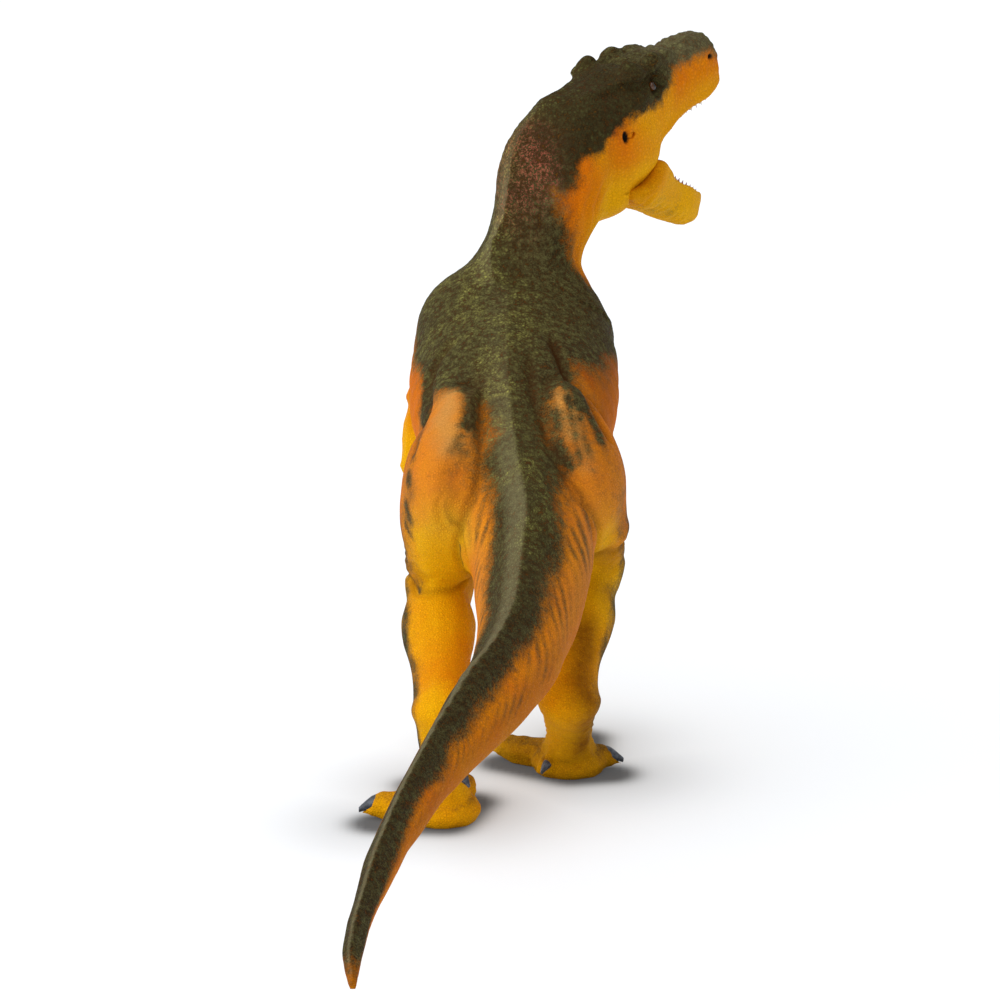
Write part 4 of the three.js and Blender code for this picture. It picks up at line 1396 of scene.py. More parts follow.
@dataclass
class HideRelief:
    """The moulded relief of the hide, as heights in millimetres over the plain skin."""

    stance: Stance
    spine: Spine
    knob_pitch: float = 5.2
    muscle: float = 0.55
    crest_along: tuple[float, ...] = (0, 20, 90, 170, 215, 250, 268, 284, 304, 315, 326)
    crest_tall: tuple[float, ...] = (0.1, 0.5, 1.6, 1.7, 0.7, 0.3, 0.9, 2, 1.8, 0.4, 0)
    # Each knob of the brow: how far forward and up, its radius and its height.
    brow_knobs: tuple[tuple[float, float, float, float], ...] = (
        (4.7, 22.8, 1.9, 1.7), (13.4, 21.9, 1.9, 1.1), (19.3, 20.4, 1.5, 1.0),
    )
    lip_forward: tuple[float, ...] = (7, 12, 18, 25, 32, 37, 47)
    lip_up: tuple[float, ...] = (0.2, 1.5, 3.3, 4.2, 4, 4.8, 6.6)

    def back(self, points: np.ndarray, along: np.ndarray, turn: np.ndarray) -> np.ndarray:
        """The sharp crest of the back, the hollows beside it, and the coarse pebbles of the shoulders.

        Args:
            points: drawing points in millimetres, one a row.
            along: how far along the spine each lies, in millimetres.
            turn: how far round the spine each lies, in degrees.

        Returns:
            The height in millimetres at each point.
        """
        tall = np.interp(along, self.crest_along, self.crest_tall)
        knobs = 0.86 + 0.14 * np.cos(2 * math.pi * along / self.knob_pitch)
        crest = tall * (np.exp(-np.abs(turn + 4) / 13) * knobs - 0.42 * bell(np.abs(turn + 4), 38, 17))
        hollow = -sum(groove.depth * groove.closeness(along, turn) for groove in GROOVES)
        swell = 0.8 * bell(turn, 36, 12) * bell(along, 212, 12)
        broad = bell(turn, 0, 60) * soft(along, 190, 225)
        nape = 1.3 * bell(along, 296, 11) * bell(turn, -42, 30)
        nape = nape - 1.5 * bell(along, 280, 6) * bell(turn, -50, 30)
        shoulder = 1.3 * bell(along, 268, 9) * bell(turn, 85, 32)
        shoulder = shoulder - 0.7 * bell(along, 254, 5) * bell(turn, 88, 26)
        hips = (hollow + swell) * soft(points[:, 2], 50, 60)
        return crest + nape + shoulder + hips + 0.2 * broad * pebbles(points, 2.1)

    def ankle(self, points: np.ndarray, side: Side) -> np.ndarray:
        """The narrow shin, the ankle knob and the slim foot bone of one leg.

        Args:
            points: drawing points in millimetres, one a row.
            side: the leg's side.

        Returns:
            The height in millimetres at each point.
        """
        height = points[:, 2]
        knob, fold = 28.5 if side is Side.LEFT else 23.6, KNEE_FOLDS[side]
        foot = -0.9 * bell(height, knob - 12, 4)
        level = height + 1.2 * clouds(points, 7, 2.8)
        knee = 0.55 * bell(level, fold + 2.6, 2.4) - 0.8 * bell(level, fold - 0.6, 1.0)
        spur = np.linalg.norm(points - np.array(FEET[side is Side.RIGHT].spur), axis=1)
        outside = np.linalg.norm(points - np.array((27.5, 9, 66)), axis=1)
        press = -0.8 * bell(spur, 0, 4.2) if side is Side.LEFT else -1.0 * bell(outside, 0, 7)
        return knee + press + foot + 0.9 * bell(height, knob, 3) - 0.6 * bell(height, knob + 7, 3.5)

    def flesh(self, points: np.ndarray, along: np.ndarray, turn: np.ndarray) -> np.ndarray:
        """Muscles, ribs, and the folds of throat, knees and ankles.

        Args:
            points: drawing points in millimetres, one a row.
            along: how far along the spine each lies, in millimetres.
            turn: how far round the spine each lies, in degrees.

        Returns:
            The height in millimetres at each point.
        """
        height = points[:, 2]
        bulk = self.muscle * clouds(points, 15) * soft(height, 8, 24)
        bulk = bulk * (1 - soft(np.abs(turn), 10, 40) * 0.4)
        ribs = 0.22 * np.cos(2 * math.pi * along / 6.5) * bell(along, 232, 20) * bell(np.abs(turn), 95, 30)
        sway = clouds(points, 7, 4.4)
        throat = 0.28 * np.sin(2 * math.pi * (turn + 10 * sway) / 19) * soft(turn, 52, 66)
        throat = throat * (1 - soft(turn, 120, 150)) * bell(along, 296, 24)
        knee = 0.12 * np.sin(2 * math.pi * (height + 2.4 * sway) / 3.1) * bell(height, 55, 5)
        shin = 0.12 * np.sin(2 * math.pi * (height + 2 * sway) / 2.4) * bell(height, 15, 8)
        legs = soft(along, 150, 170) * (1 - soft(height, 56, 64))
        return bulk + ribs + throat + (knee + shin) * legs

    def face(self, points: np.ndarray) -> np.ndarray:
        """Eye sockets with lids, ears, nostrils, the brow's knobs and the wrinkled snout.

        Args:
            points: drawing points in millimetres, one a row.

        Returns:
            The height in millimetres at each point.
        """
        across, forward, up = self.stance.within(self.stance.head(), points).T
        side = soft(np.abs(across), 3.5, 5.5)
        eye = np.sqrt((forward - EYE_AT[0]) ** 2 + (up - EYE_AT[1]) ** 2)
        lids = 0.6 * bell(eye, 2.7, 0.7) - 1.2 * bell(eye, 0, 1.5)
        ear = -1.3 * np.exp(-(((forward - EAR_AT[0]) / 1.1) ** 2) - ((up - EAR_AT[1]) / 1.8) ** 2)
        rim = 0.08 * bell(np.hypot(forward - EAR_AT[0], (up - EAR_AT[1]) / 1.6), 1.9, 1.0)
        nose = ((forward - NOSTRIL_AT[0]) / 1.1) ** 2 + ((up - NOSTRIL_AT[1]) / 0.8) ** 2
        nostril = -0.9 * np.exp(-nose)
        snout = soft(forward, 16, 22) * soft(up, 6, 12)
        rough = 0.45 * pebbles(points, 2.6) * snout
        brow = 0.35 * pebbles(points, 3.4) * bell(forward, 10, 14) * soft(up, 15, 19)
        for at_forward, at_up, size, tall in self.brow_knobs:
            knob = np.hypot(np.hypot(forward - at_forward, up - at_up), 0.8 * (np.abs(across) - 6.4))
            brow += tall * bell(knob, 0, size)
        crown = soft(up, 17, 20)
        dips = 0.9 * bell(forward, 8.6, 1.9) + 1.0 * bell(forward, 25.5, 4.2) + 1.4 * bell(forward, -4, 5)
        brow -= crown * dips
        temple = np.interp(forward, (-14, -4, 6, 14), (19.2, 21.0, 20.4, 19.2))
        brow += 0.8 * bell(up, temple, 0.9) * soft(np.abs(across), 2.2, 4.2) * (1 - soft(forward, 8, 15))
        jowl = -0.5 * bell(np.hypot(forward - 2, up - 1), 9, 3) * soft(np.abs(across), 6, 9)
        jowl = jowl * soft(forward, -4, 0)
        lip = 0.3 * bell(up - np.interp(forward, self.lip_forward, self.lip_up), 1, 0.9)
        tip = soft(forward, 34, 40) * (0.1 * bell(up, 11.5, 3.4) - 0.3 * bell(up, 5, 2.5))
        tip = tip - 0.35 * soft(forward, 39, 42)
        features = side * (lids + ear + rim + nostril + jowl) + rough + brow + tip
        return (features + lip * soft(forward, 8, 12)) * soft(forward, -13, -8)


def egg(at: Sequence[float], half: Sequence[float], way: Vector, stance: Stance) -> bmesh.types.BMesh:
    """An egg of flesh to be run into the skin.

    Args:
        at: its middle, in millimetres in the drawing frame.
        half: its half sizes across, along and up.
        way: the direction that it lies along.
        stance: the drawing frame's place.

    Returns:
        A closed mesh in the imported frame.
    """
    bm = bmesh.new()
    bmesh.ops.create_uvsphere(bm, u_segments=24, v_segments=16, radius=1.0)
    place = Matrix.Translation(at) @ lengthwise(way) @ Matrix.Diagonal((*half, 1))
    return stance.carry(bm, place, lowest=0.05)


@dataclass(frozen=True)
class Foot:
    """One foot's ball, its toes by turn and reach, and its spur, in millimetres in the drawing frame."""

    side: Side
    ball: tuple[float, float, float]
    toes: tuple[tuple[float, float], ...]
    spur: tuple[float, float, float]

    def way(self, turn: float) -> Vector:
        """The level direction of a toe."""
        heading = math.radians(self.side.value * turn)
        return Vector((math.sin(heading), math.cos(heading), 0))

    def pads(self, stance: Stance) -> list[bmesh.types.BMesh]:
        """The plump pads and knuckles of the toes.

        Args:
            stance: the drawing frame's place.

        Returns:
            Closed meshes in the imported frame.
        """
        pads = ((5.6, (3.5, 3.6, 3.5), 3.6), (1.6, (3.1, 3.2, 3.4), 3.4), (-0.8, (2.4, 2.2, 2.7), 2.9))
        made = []
        for turn, reach in self.toes:
            way = self.way(turn)
            for back, half, high in pads:
                at = Vector(self.ball) + way * (reach - back)
                at.z = high
                made.append(egg(at, half, way, stance))
        return made


FEET = (
    Foot(Side.LEFT, (-16.65, -14.06, 5.92), ((86, 15.12), (10, 28.35), (-20, 16.74)), (-11.5, -19.2, 12.2)),
    Foot(Side.RIGHT, (13.69, 20.72, 5.55), ((78, 9.18), (6, 28.35), (-58, 18.36)), (8.3, 13.0, 4.4)),
)


@dataclass
class Hide:
    """The painted hide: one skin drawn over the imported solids, then parted where the real mouldings part."""

    stance: Stance
    spine: Spine
    pattern: HidePattern
    relief: HideRelief
    nodes: dict[str, bpy.types.Object]
    closing: float = 0.35
    voxel: float = 0.5
    seat_room: float = 1.3
    leg_room: float = 1.9
    head_room: float = 2.4
    tool_voxel: float = 0.8
    between_feet: float = -6.8
    block_reach: float = 64.0
    # The foot block's middle and size, along and up.
    block_along: tuple[float, float] = (13.0, 94.0)
    block_up: tuple[float, float] = (17.0, 42.0)
    hips: tuple[tuple[float, float, float], ...] = ((-15.6, 25.0, 95.0), (11.4, 23.0, 95.0))
    left_spur: tuple[float, float, float] = (-9.5, -20.0, 13.0)
    eased_ear: tuple[float, float] = (-4.2, 8.4)
    # Flesh that fills the way over each hip: its middle, its half sizes and its direction.
    bridges: tuple[tuple[tuple[float, float, float], ...], ...] = (
        ((-15.6, 27.5, 91.0), (4.6, 13.0, 4.8), (0, 1, 0.12)),
        ((11.6, 24.0, 92.0), (4.2, 12.0, 4.2), (-0.15, 1, 0.28)),
    )
    limbs: tuple[str, ...] = ("left_leg", "right_leg", "left_arm", "right_arm")
    trees: dict[str, BVHTree] = field(default_factory=dict)

    def measure(self, name: str, points: np.ndarray) -> np.ndarray:
        """Each packed point's distance to a node's surface, in millimetres.

        Args:
            name: the node.
            points: packed points in metres.

        Returns:
            One number a point.
        """
        if name not in self.trees:
            bm = packed_copy(self.nodes[name], self.closing)
            self.trees[name] = BVHTree.FromBMesh(bm)
            bm.free()
        tree = self.trees[name]
        return np.array([tree.find_nearest(Vector(p))[3] for p in points]) / MM

    def creases(self, points: np.ndarray, near: dict[str, np.ndarray], reach: float = 1.3) -> np.ndarray:
        """How deep in the crease between a leg and the body each point lies, from 0 to 1.

        Args:
            points: packed points in metres.
            near: their distances to the trunk, tail and legs.
            reach: how wide the crease is, in millimetres.

        Returns:
            One number a point.
        """
        body = np.minimum(near["trunk"], near["tail"])
        legs = np.minimum(near["left_leg"], near["right_leg"])
        gap = np.maximum(body, legs)
        height = self.stance.to_drawing(points)[:, 2]
        return np.exp(-((gap / reach) ** 2)) * soft(height, 44, 54)

    def slackness(self, drawn: np.ndarray, near: dict[str, np.ndarray], along: np.ndarray) -> np.ndarray:
        """How strongly each point of the new skin is smoothed.

        Args:
            drawn: drawing points in millimetres, one a row.
            near: their distances to the hide nodes.
            along: how far along the spine each lies, in millimetres.

        Returns:
            Numbers from 0 to 1.
        """
        girth = np.interp(along, (0, 40, 120, 170, 240, 300), (0.05, 0.12, 0.5, 0.9, 1.0, 0.7))
        legs = np.minimum(near["left_leg"], near["right_leg"])
        leg_girth = np.interp(drawn[:, 2], (0, 8, 14, 30, 50, 70), (0.05, 0.07, 0.2, 0.3, 0.45, 0.8))
        weight = np.where(legs < 0.8, leg_girth, girth)
        weight = np.where(near["head"] < 0.8, 0.08, weight)
        weight = np.where(np.minimum(near["left_arm"], near["right_arm"]) < 0.6, 0.06, weight)
        spur = np.linalg.norm(drawn - np.array(self.left_spur), axis=1)
        weight = np.maximum(weight, np.exp(-((spur / 6.5) ** 4)))
        _, forward, up = self.stance.within(self.stance.head(), drawn).T
        ear = np.hypot(forward - self.eased_ear[0], up - self.eased_ear[1])
        return np.maximum(weight, np.exp(-((ear / 3.4) ** 4)) * (near["head"] < 1.5))

    def lift(
        self, points: np.ndarray, near: dict[str, np.ndarray], along: np.ndarray, turn: np.ndarray
    ) -> np.ndarray:
        """How far the relief lifts each point of the smoothed skin.

        Args:
            points: packed points in metres, one a row.
            near: their distances to the hide nodes.
            along: how far along the spine each lies, in millimetres.
            turn: how far round the spine each lies, in degrees.

        Returns:
            The height in millimetres at each point.
        """
        drawn = self.stance.to_drawing(points)
        height = self.relief.back(drawn, along, turn) + self.relief.flesh(drawn, along, turn)
        for side, name in ((Side.LEFT, "left_leg"), (Side.RIGHT, "right_leg")):
            height += self.relief.ankle(drawn, side) * (1 - soft(near[name], 0.6, 1.8))
        on_head = 1 - soft(near["head"], 0.4, 1.6)
        height = height * (1 - on_head) + self.relief.face(drawn) * on_head
        height = height - 0.9 * self.creases(points, near) - self.closing * 0.6
        tip = (1 - soft(along, 0, 6)) * (near["tail"] < 1.5)
        return height * (1 - tip) - 0.3 * tip

    def mould(self) -> bpy.types.Object:
        """Draws one skin over every hide node, smooths it and adds the relief.

        Returns:
            The skin.
        """
        names = ("trunk", "tail", "neck", "head", *self.limbs)
        parts = [packed_copy(self.nodes[n], self.closing) for n in names]
        parts += [pad for foot in FEET for pad in foot.pads(self.stance)]
        for at, half, way in self.bridges:
            parts.append(egg(at, half, Vector(way).normalized(), self.stance))
        skin = moulded("hide", parts, self.voxel)
        mesh = skin.data
        points = points_of(mesh)
        drawn = self.stance.to_drawing(points)
        near = {n: self.measure(n, points) for n in ("trunk", "tail", "head", *self.limbs)}
        along, turn = self.spine.locate(drawn)
        relaxed(mesh, self.slackness(drawn, near, along), 60)
        hips = np.min([np.linalg.norm(drawn - np.array(at), axis=1) for at in self.hips], axis=0)
        relaxed(mesh, np.maximum(self.creases(points, near, 6.5), np.exp(-((hips / 9) ** 4))), 200)
        eased = points_of(mesh)
        height = self.lift(eased, near, along, turn)
        set_points(mesh, eased + normals_of(mesh) * height[:, None] * MM)
        log.info("hide skin: %d points", len(mesh.vertices))
        return skin

    def tool(self, name: str) -> bpy.types.Object:
        """The closed shape that cuts one piece out of the skin; a leg's also takes in all of its foot.

        Args:
            name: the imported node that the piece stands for.

        Returns:
            The tool.
        """
        if name == "head":
            return add_object("head_tool", packed_copy(self.nodes[name], self.head_room))
        if "arm" in name:
            return moulded(f"{name}_tool", [packed_copy(self.nodes[name], self.seat_room)], self.tool_voxel)
        outer = self.block_reach if "right" in name else -self.block_reach
        middle, wide = (outer + self.between_feet) / 2, abs(outer - self.between_feet)
        block = bmesh.new()
        bmesh.ops.create_cube(block, size=1.0)
        for vert in block.verts:
            x, y, z = vert.co
            along = self.block_along[0] + y * self.block_along[1]
            up = self.block_up[0] + z * self.block_up[1]
            vert.co = self.stance.to_row((middle + x * wide, along, up))
        leg = packed_copy(self.nodes[name], self.leg_room)
        return moulded(f"{name}_tool", [block, leg], self.tool_voxel)

    def part(self) -> dict[str, bpy.types.Object]:
        """Parts the skin into the pieces that the real figure is moulded in.

        Returns:
            The pieces by node.
        """
        rest = self.mould()
        pieces = {}
        for name in (*self.limbs, "head"):
            tool = self.tool(name)
            pieces[name] = bpy.data.objects.new(f"{name}_hide", cut_with(rest, tool, "INTERSECT"))
            swap_mesh(rest, cut_with(rest, tool, "DIFFERENCE"))
            bpy.data.objects.remove(tool)
        shift = self.stance.shift()
        tail_at, tail_way = self.spine.seam(self.spine.tail_seam)
        neck_at, neck_way = self.spine.seam(self.spine.neck_seam)
        tail_at, neck_at = (tail_at + shift) * MM, (neck_at + shift) * MM
        body = rest.data
        pieces["tail"] = bpy.data.objects.new("tail_hide", halved(body, tail_at, -tail_way))
        ahead = halved(body, tail_at, tail_way)
        pieces["neck"] = bpy.data.objects.new("neck_hide", halved(ahead, neck_at, neck_way))
        pieces["trunk"] = bpy.data.objects.new("trunk_hide", halved(ahead, neck_at, -neck_way))
        bpy.data.objects.remove(rest)
        return pieces

    def dress(self, finish: bpy.types.Material) -> None:
        """Builds, paints and seats every piece of hide.

        Args:
            finish: the material.
        """
        for name, piece in self.part().items():
            bpy.context.scene.collection.objects.link(piece)
            swap_mesh(piece, main_body(piece.data))
            points = points_of(piece.data)
            keys = ("trunk", "tail", "left_leg", "right_leg")
            near = {n: self.measure(n, points) for n in keys}
            self.pattern.masks(piece.data, self.creases(points, near), name)
            painted(piece, finish)
            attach(piece, "figure")
            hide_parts(name)
            "limb_vinyl" if name in self.limbs else "body_vinyl"


# The mouth.


@dataclass
class JawHide:
    """The lower jaw's painted moulding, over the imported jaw."""

    stance: Stance
    node: bpy.types.Object
    voxel: float = 0.32

    def dress(self, finish: bpy.types.Material) -> None:
        """Builds and paints the jaw.

        Args:
            finish: the material.
        """
        piece = moulded("lower_jaw_hide", [packed_copy(self.node)], self.voxel)
        mesh = piece.data
        drawn = self.stance.to_drawing(points_of(mesh))
        across, forward, up = self.stance.within(self.stance.jaw(), drawn).T
        clear = soft(np.hypot(forward, up), 9.2, 11.0)
        relaxed(mesh, 0.25 * clear + 0.02, 24)
        chin = 0.35 * bell(forward, 35, 4) * soft(-up, 0, 3)
        folds = 0.25 * np.sin(forward * 1.9 + 2 * clouds(drawn, 6)) * soft(-up, 4, 7)
        bulk = 0.35 * clouds(drawn, 6, 2.0)
        flare = 1.4 * soft(np.abs(across), 5, 8) * (1 - soft(forward, 10, 20))
        flare *= soft(np.hypot(forward, up), 8, 9)
        height = (chin + folds + bulk - 0.2) * clear + flare
        set_points(mesh, points_of(mesh) + normals_of(mesh) * height[:, None] * MM)
        points = self.stance.to_drawing(points_of(mesh))
        lower = soft(-up, 2, 7)
        unused = ("peach", "flush", "rust", "black", "shade", "lit", "dim")
        coats = dict.fromkeys(unused, np.zeros(len(points)))
        coats["dark"] = (0.12 * soft(clouds(points, 5, 1.0), 0.0, 0.9) + 0.12 * lower) * clear
        coats["warm"] = 0.1 * (1 - lower) + 0.36 * soft(-forward, -16, -7)
        coats["drybrush_and_highlight"] = (0.3 + 0.3 * lower) * soft(forward, 8, 16)
        coats["coarse"] = np.full(len(points), 0.25)
        # Painted shade at the back of the jaw, where it tucks under the cheek.
        coats["crease"] = 0.12 * (1 - clear)
        for coat, cover in coats.items():
            write_mask(mesh, coat, cover)
        painted(piece, finish)
        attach(piece, "jaw")
        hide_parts("lower_jaw")


@dataclass
class ToothRow:
    """Two mirrored rows of curved teeth along a lip line, in the frame of their jaw."""

    name: str
    body: str
    frame: Matrix
    lip_forward: tuple[float, ...]
    lip_up: tuple[float, ...]
    width_forward: tuple[float, ...]
    width: tuple[float, ...]
    first: float
    last: float
    count: int
    inset: float
    way: int
    length: float = 1.3
    radius: float = 0.95

    def tooth(self, index: int, side: Side, stance: Stance) -> bmesh.types.BMesh:
        """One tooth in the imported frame.

        Args:
            index: its place in the row.
            side: its side of the mouth.
            stance: the drawing frame's place.

        Returns:
            A closed mesh.
        """
        forward = self.first + (self.last - self.first) * index / (self.count - 1)
        long = self.length * (0.5 + 0.5 * min(1.0, 2 * index / self.count))
        long *= (0.45 if self.way > 0 else 1.14) + 0.12 * math.sin(index * 2.4)
        across = side.value * max(0.62, np.interp(forward, self.width_forward, self.width) - self.inset)
        level = np.interp(forward, self.lip_forward, self.lip_up)
        bm = horn(long + 1.0, self.radius, 0.3, 0.42, 8)
        stand = Matrix.Rotation(math.pi / 2 * self.way, 4, "X")
        base = Matrix.Translation((across, forward, level - (1.4 if self.way > 0 else -1.0)))
        return stance.carry(bm, self.frame @ base @ stand)

    def dress(self, finish: bpy.types.Material, stance: Stance) -> None:
        """Builds the row as one piece.

        Args:
            finish: the material.
            stance: the drawing frame's place.
        """
        whole = joined(self.tooth(index, side, stance) for side in Side for index in range(self.count))
        bmesh.ops.recalc_face_normals(whole, faces=whole.faces)
        piece = add_object(self.name, whole)
        drawn = stance.to_drawing(points_of(piece.data))
        up = stance.within(self.frame, drawn)
        level = np.interp(up[:, 1], self.lip_forward, self.lip_up)
        write_mask(piece.data, "root", 1 - soft(self.way * (up[:, 2] - level), -0.2, 1.1))
        painted(piece, finish)
        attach(piece, self.body)


@dataclass
class MouthFloor:
    """The floor of the lower jaw with its worn-down row of teeth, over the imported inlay."""

    stance: Stance
    node: bpy.types.Object
    lip_forward: tuple[float, ...]
    lip_up: tuple[float, ...]
    stand: float = 0.3

    def dress(self, finish: bpy.types.Material) -> None:
        """Builds the floor, with whatever stands above the lip pressed down.

        Args:
            finish: the material.
        """
        piece = add_object("mouth_floor", packed_copy(self.node))
        frame = self.stance.jaw()
        drawn = self.stance.to_drawing(points_of(piece.data))
        _, forward, up = self.stance.within(frame, drawn).T
        over = np.maximum(up - np.interp(forward, self.lip_forward, self.lip_up) - self.stand, 0)
        rise = np.array(frame.col[2][:3])
        set_points(piece.data, points_of(piece.data) - 0.5 * over[:, None] * rise * MM)
        painted(piece, finish, smooth=False)
        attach(piece, "jaw")
        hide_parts("tongue_and_lower_teeth")


@dataclass
class Tongue:
    """A raised tongue with a groove, lying on the floor of the mouth."""

    stance: Stance
    middle: tuple[float, float, float] = (0.0, 20.9, 1.8)
    half: tuple[float, float, float] = (4.0, 10.2, 2.0)

    def dress(self, finish: bpy.types.Material) -> None:
        """Builds the tongue.

        Args:
            finish: the material.
        """
        bm = bmesh.new()
        bmesh.ops.create_uvsphere(bm, u_segments=40, v_segments=24, radius=1.0)
        for vert in bm.verts:
            x, y, z = vert.co
            groove = 0.35 * math.exp(-((x / 0.16) ** 2)) * max(0.0, z)
            taper = 1 - 0.35 * max(0.0, y) ** 2
            rise = 0.25 * max(0.0, y) ** 2
            vert.co = (x * self.half[0] * taper, y * self.half[1], (z - groove + rise) * self.half[2])
        self.stance.carry(bm, self.stance.jaw() @ Matrix.Translation(self.middle))
        piece = add_object("tongue", bm)
        painted(piece, finish)
        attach(piece, "jaw")


@dataclass
class Eyes:
    """Glossy eyes under the brows."""

    stance: Stance
    across: float = 8.5
    radius: float = 1.3

    def dress(self, finish: bpy.types.Material) -> None:
        """Builds both eyes.

        Args:
            finish: the material.
        """
        for side in Side:
            bm = bmesh.new()
            bmesh.ops.create_uvsphere(bm, u_segments=32, v_segments=24, radius=self.radius)
            pupil = [
                (side.value * v.co.x > 0) * math.exp(-((v.co.y / 0.32) ** 2) - (v.co.z / 1.3) ** 4)
                for v in bm.verts
            ]
            place = Matrix.Translation((side.value * self.across, *EYE_AT))
            self.stance.carry(bm, self.stance.head() @ place)
            piece = add_object(f"{side.name.lower()}_eye", bm)
            write_mask(piece.data, "pupil", np.array(pupil) * 1.6)
            painted(piece, finish)
            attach(piece, "figure")


# The claws.


@dataclass
class Claws:
    """The slate claws of toes, spurs and fingers."""

    stance: Stance
    length: float = 4.4
    radius: float = 1.9
    wrists: dict[Side, tuple[float, float, float]] = field(
        default_factory=lambda: {Side.LEFT: (-21.6, 68.0, 59.4), Side.RIGHT: (20.0, 70.2, 61.0)}
    )

    def claw(self, root: Vector, way: Vector, length: float, radius: float) -> bmesh.types.BMesh:
        """One claw from its root along a way, bending down.

        Args:
            root: the middle of its base.
            way: where it points.
            length: its length.
            radius: its base's radius.

        Returns:
            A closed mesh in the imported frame.
        """
        bm = horn(length, radius, length * 0.24, 0.32, 16)
        return self.stance.carry(bm, Matrix.Translation(root) @ lengthwise(way), lowest=0.02)

    def toe_claws(self, foot: Foot) -> list[bmesh.types.BMesh]:
        """The claws of one foot.

        Args:
            foot: the foot.

        Returns:
            A closed mesh for each.
        """
        made = []
        for turn, reach in foot.toes:
            way = foot.way(turn)
            root = Vector(foot.ball) + way * (reach - 0.1)
            root.z = 3.9
            dip = (way * self.length - Vector((0, 0, 0.7))).normalized()
            made.append(self.claw(root - dip * 0.6, dip, self.length + 0.9, self.radius))
        way = Vector((-foot.side.value * 0.45, -0.45, -0.35)).normalized()
        made.append(self.claw(Vector(foot.spur) - way * 0.3, way, 2.9, 1.1))
        return made

    def finger_claws(self, side: Side) -> list[bmesh.types.BMesh]:
        """The two claws of one hand.

        Args:
            side: the hand's side.

        Returns:
            A closed mesh for each.
        """
        way = Vector((0, 0.5, -0.86)).normalized()
        wrist = Vector(self.wrists[side])
        return [
            self.claw(wrist + Vector((spread * 2.47, 4.32, -3.24)) - way * 0.4, way, 3.5, 1.05)
            for spread in (-1, 1)
        ]

    def dress(self, finish: bpy.types.Material) -> None:
        """Builds the claws of both feet and both hands.

        Args:
            finish: the material.
        """
        for foot in FEET:
            whole = joined(self.toe_claws(foot) + self.finger_claws(foot.side))
            bmesh.ops.recalc_face_normals(whole, faces=whole.faces)
            piece = add_object(f"{foot.side.name.lower()}_claws", whole)
            painted(piece, finish)
            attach(piece, "figure")


# The studio.


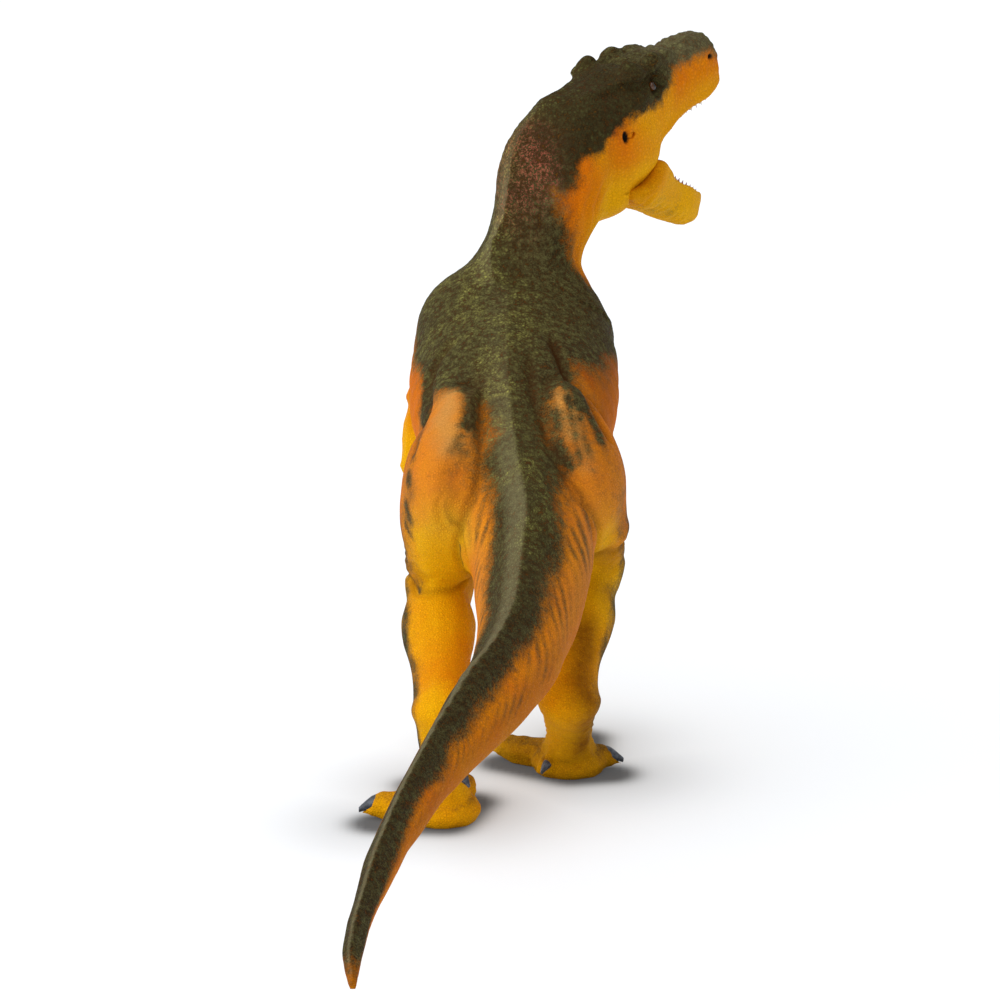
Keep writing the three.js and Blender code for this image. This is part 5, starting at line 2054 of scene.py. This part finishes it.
@dataclass
class Studio:
    """A plain pale floor, soft light and a camera at the photograph's angle."""

    stance: Stance
    aim: tuple[float, float, float] = (-3.0, 0.0, 73.6)
    eye: tuple[float, float, float] = (-3.0, -869.3, 306.5)
    lens: float = 139.3
    # How far the painted contact shadow is moved from under the feet, across and along.
    fall: tuple[float, float] = (0.5, -4.0)
    fine_half: float = 90.0
    far_half: float = 12000.0
    tints: tuple[str, str] = ("BCC2C8", "C0C6CC")
    # The painted contact shadow's colour.
    shade: str = "303030"

    def camera(self) -> None:
        """Sets the camera."""
        data = bpy.data.cameras.new("camera")
        data.lens = self.lens
        data.sensor_width = 36
        data.clip_start = 0.01
        data.clip_end = 50
        obj = bpy.data.objects.new("camera", data)
        bpy.context.scene.collection.objects.link(obj)
        obj.location = self.stance.to_row(self.eye)
        gaze = self.stance.to_row(self.aim) - obj.location
        obj.rotation_euler = gaze.to_track_quat("-Z", "Y").to_euler()
        bpy.context.scene.camera = obj

    def shadow(self, spots: np.ndarray) -> np.ndarray:
        """How dark the feet's contact shadow is at each place of the floor.

        Args:
            spots: places in millimetres in the drawing frame, as rows of two.

        Returns:
            Numbers from 0 to 1.
        """
        near = np.full(len(spots), 1e3)
        for foot in FEET:
            for turn, reach in foot.toes:
                ball, run = np.array(foot.ball[:2]), np.array(foot.way(turn)[:2]) * reach
                from_ball = spots - ball - self.fall
                share = np.clip((from_ball @ run) / (run @ run), 0, 1)
                near = np.minimum(near, np.linalg.norm(from_ball - share[:, None] * run, axis=1))
        return 0.62 * bell(np.maximum(near - 4, 0), 0, 4.0) + 0.29 * bell(near, 0, 22)

    def floor(self) -> None:
        """Lays the floor, with the feet's contact shadow painted on it."""
        bm = bmesh.new()
        bmesh.ops.create_grid(bm, x_segments=110, y_segments=110, size=1)
        for vert in bm.verts:
            spot = [at * (self.fine_half if abs(at) < 0.985 else self.far_half) for at in vert.co[:2]]
            vert.co = self.stance.to_row((spot[0], spot[1] + 8, 0))
            vert.co.z = 0
        obj = add_object("floor", bm)
        spots = self.stance.to_drawing(points_of(obj.data))[:, :2]
        # The painted contact shadow under the feet.
        write_mask(obj.data, "contact", self.shadow(spots))
        r = Recipe("floor_white")
        haze = r.clouds(220, 2)
        coat = r.paint(haze, rgb(self.tints[0]), rgb(self.tints[1]))
        coat = r.paint(r.mask("contact"), coat, rgb(self.shade))
        # The floor glows evenly white, less under the feet, so the painted shadow darkens it there.
        glow = r.paint(r.mask("contact"), (1, 1, 1, 1), (0.02, 0.02, 0.02, 1))
        obj.data.materials.append(r.finish(
            Base_Color=coat, Roughness=0.9, Specular_IOR_Level=0.05,
            Emission_Color=glow, Emission_Strength=0.5,
        ))
        obj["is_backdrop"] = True

    def sun(self, name: str, way: Sequence[float], spread: float, strength: float) -> None:
        """Adds one soft light.

        Args:
            name: the light's name.
            way: the way from the figure to the light.
            spread: how wide the light looks from the figure, in degrees.
            strength: watts a square metre.
        """
        data = bpy.data.lights.new(name, "SUN")
        data.angle = math.radians(spread)
        data.energy = strength
        obj = bpy.data.objects.new(name, data)
        bpy.context.scene.collection.objects.link(obj)
        obj.location = Vector(way)
        obj.rotation_euler = (-Vector(way)).to_track_quat("-Z", "Y").to_euler()

    def dress(self) -> None:
        """Sets the whole studio."""
        self.camera()
        self.floor()
        world = bpy.data.worlds.new("studio")
        world.use_nodes = True
        sky = world.node_tree.nodes["Background"]
        sky.inputs["Color"].default_value = (1, 1, 1, 1)
        sky.inputs["Strength"].default_value = 0.6
        bpy.context.scene.world = world
        self.sun("key", (-0.52, -0.3, 0.8), spread=90, strength=1.7)
        self.sun("side", (-0.93, -0.28, 0.25), spread=60, strength=0.7)
        bpy.context.scene.view_settings.view_transform = "Standard"


# Putting it together.


def main() -> None:
    """Builds the figure's looks in order, and reports each piece."""
    logging.basicConfig(level=logging.INFO, format="%(name)s: %(message)s")
    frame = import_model()
    cad_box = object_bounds()
    nodes = frame["nodes"]
    hinge = frame["record"]["behaviour"]["joints"][0]["pos_m"]
    stance, spine = Stance(hinge_row=tuple(at / MM for at in hinge)), Spine()
    Studio(stance).dress()
    hide_paint = VinylPaint().make()
    mouth_paint, tooth_paint = MouthPaint().make(), ToothPaint().make()
    Hide(stance, spine, HidePattern(stance, spine), HideRelief(stance, spine), nodes).dress(hide_paint)
    JawHide(stance, nodes["lower_jaw"]).dress(hide_paint)
    upper = ToothRow(
        "upper_teeth", "figure", stance.head(),
        lip_forward=(8.6, 12, 18, 25, 32, 37, 47.5), lip_up=(0.44, 1.54, 3.3, 4.18, 3.96, 4.84, 6.6),
        width_forward=(1, 8, 15, 22.5, 29, 35, 39.25, 41.75), width=(12, 11, 9.1, 7.9, 7.4, 6.7, 5.3, 2.9),
        first=14.28, last=38.75, count=12, inset=2.816, way=-1,
    )
    lower = ToothRow(
        "lower_teeth", "jaw", stance.jaw(),
        lip_forward=(7.2, 8.9, 10.6, 16, 22.8, 30.4, 35), lip_up=(1.5, 1.8, 2.1, 2.1, 1.8, 1.8, 1.95),
        width_forward=(4.6, 10.6, 17.1, 23.6, 29.6, 34.2, 36.9), width=(10.3, 9.7, 8.1, 7.0, 6.2, 4.8, 2.9),
        first=13.6, last=33.44, count=11, inset=2.692, way=1,
    )
    for row in (upper, lower):
        row.dress(tooth_paint, stance)
    MouthFloor(stance, nodes["tongue_and_lower_teeth"], lower.lip_forward, lower.lip_up).dress(mouth_paint)
    Tongue(stance).dress(mouth_paint)
    Eyes(stance).dress(EyePaint().make())
    Claws(stance).dress(ClawPaint().make())
    for name, finish in (
        ("palate_and_upper_teeth", mouth_paint), ("tongue_and_lower_teeth", mouth_paint),
        ("jaw_hinge_pin", PinMetal().make()),
    ):
        nodes[name].data.materials.clear()
        nodes[name].data.materials.append(finish)
    for obj in bpy.context.scene.objects:
        if obj.type == "MESH" and obj.name != "floor" and obj.name not in nodes:
            kept_inside(obj.data, cad_box)


if __name__ == "__main__":
    main()
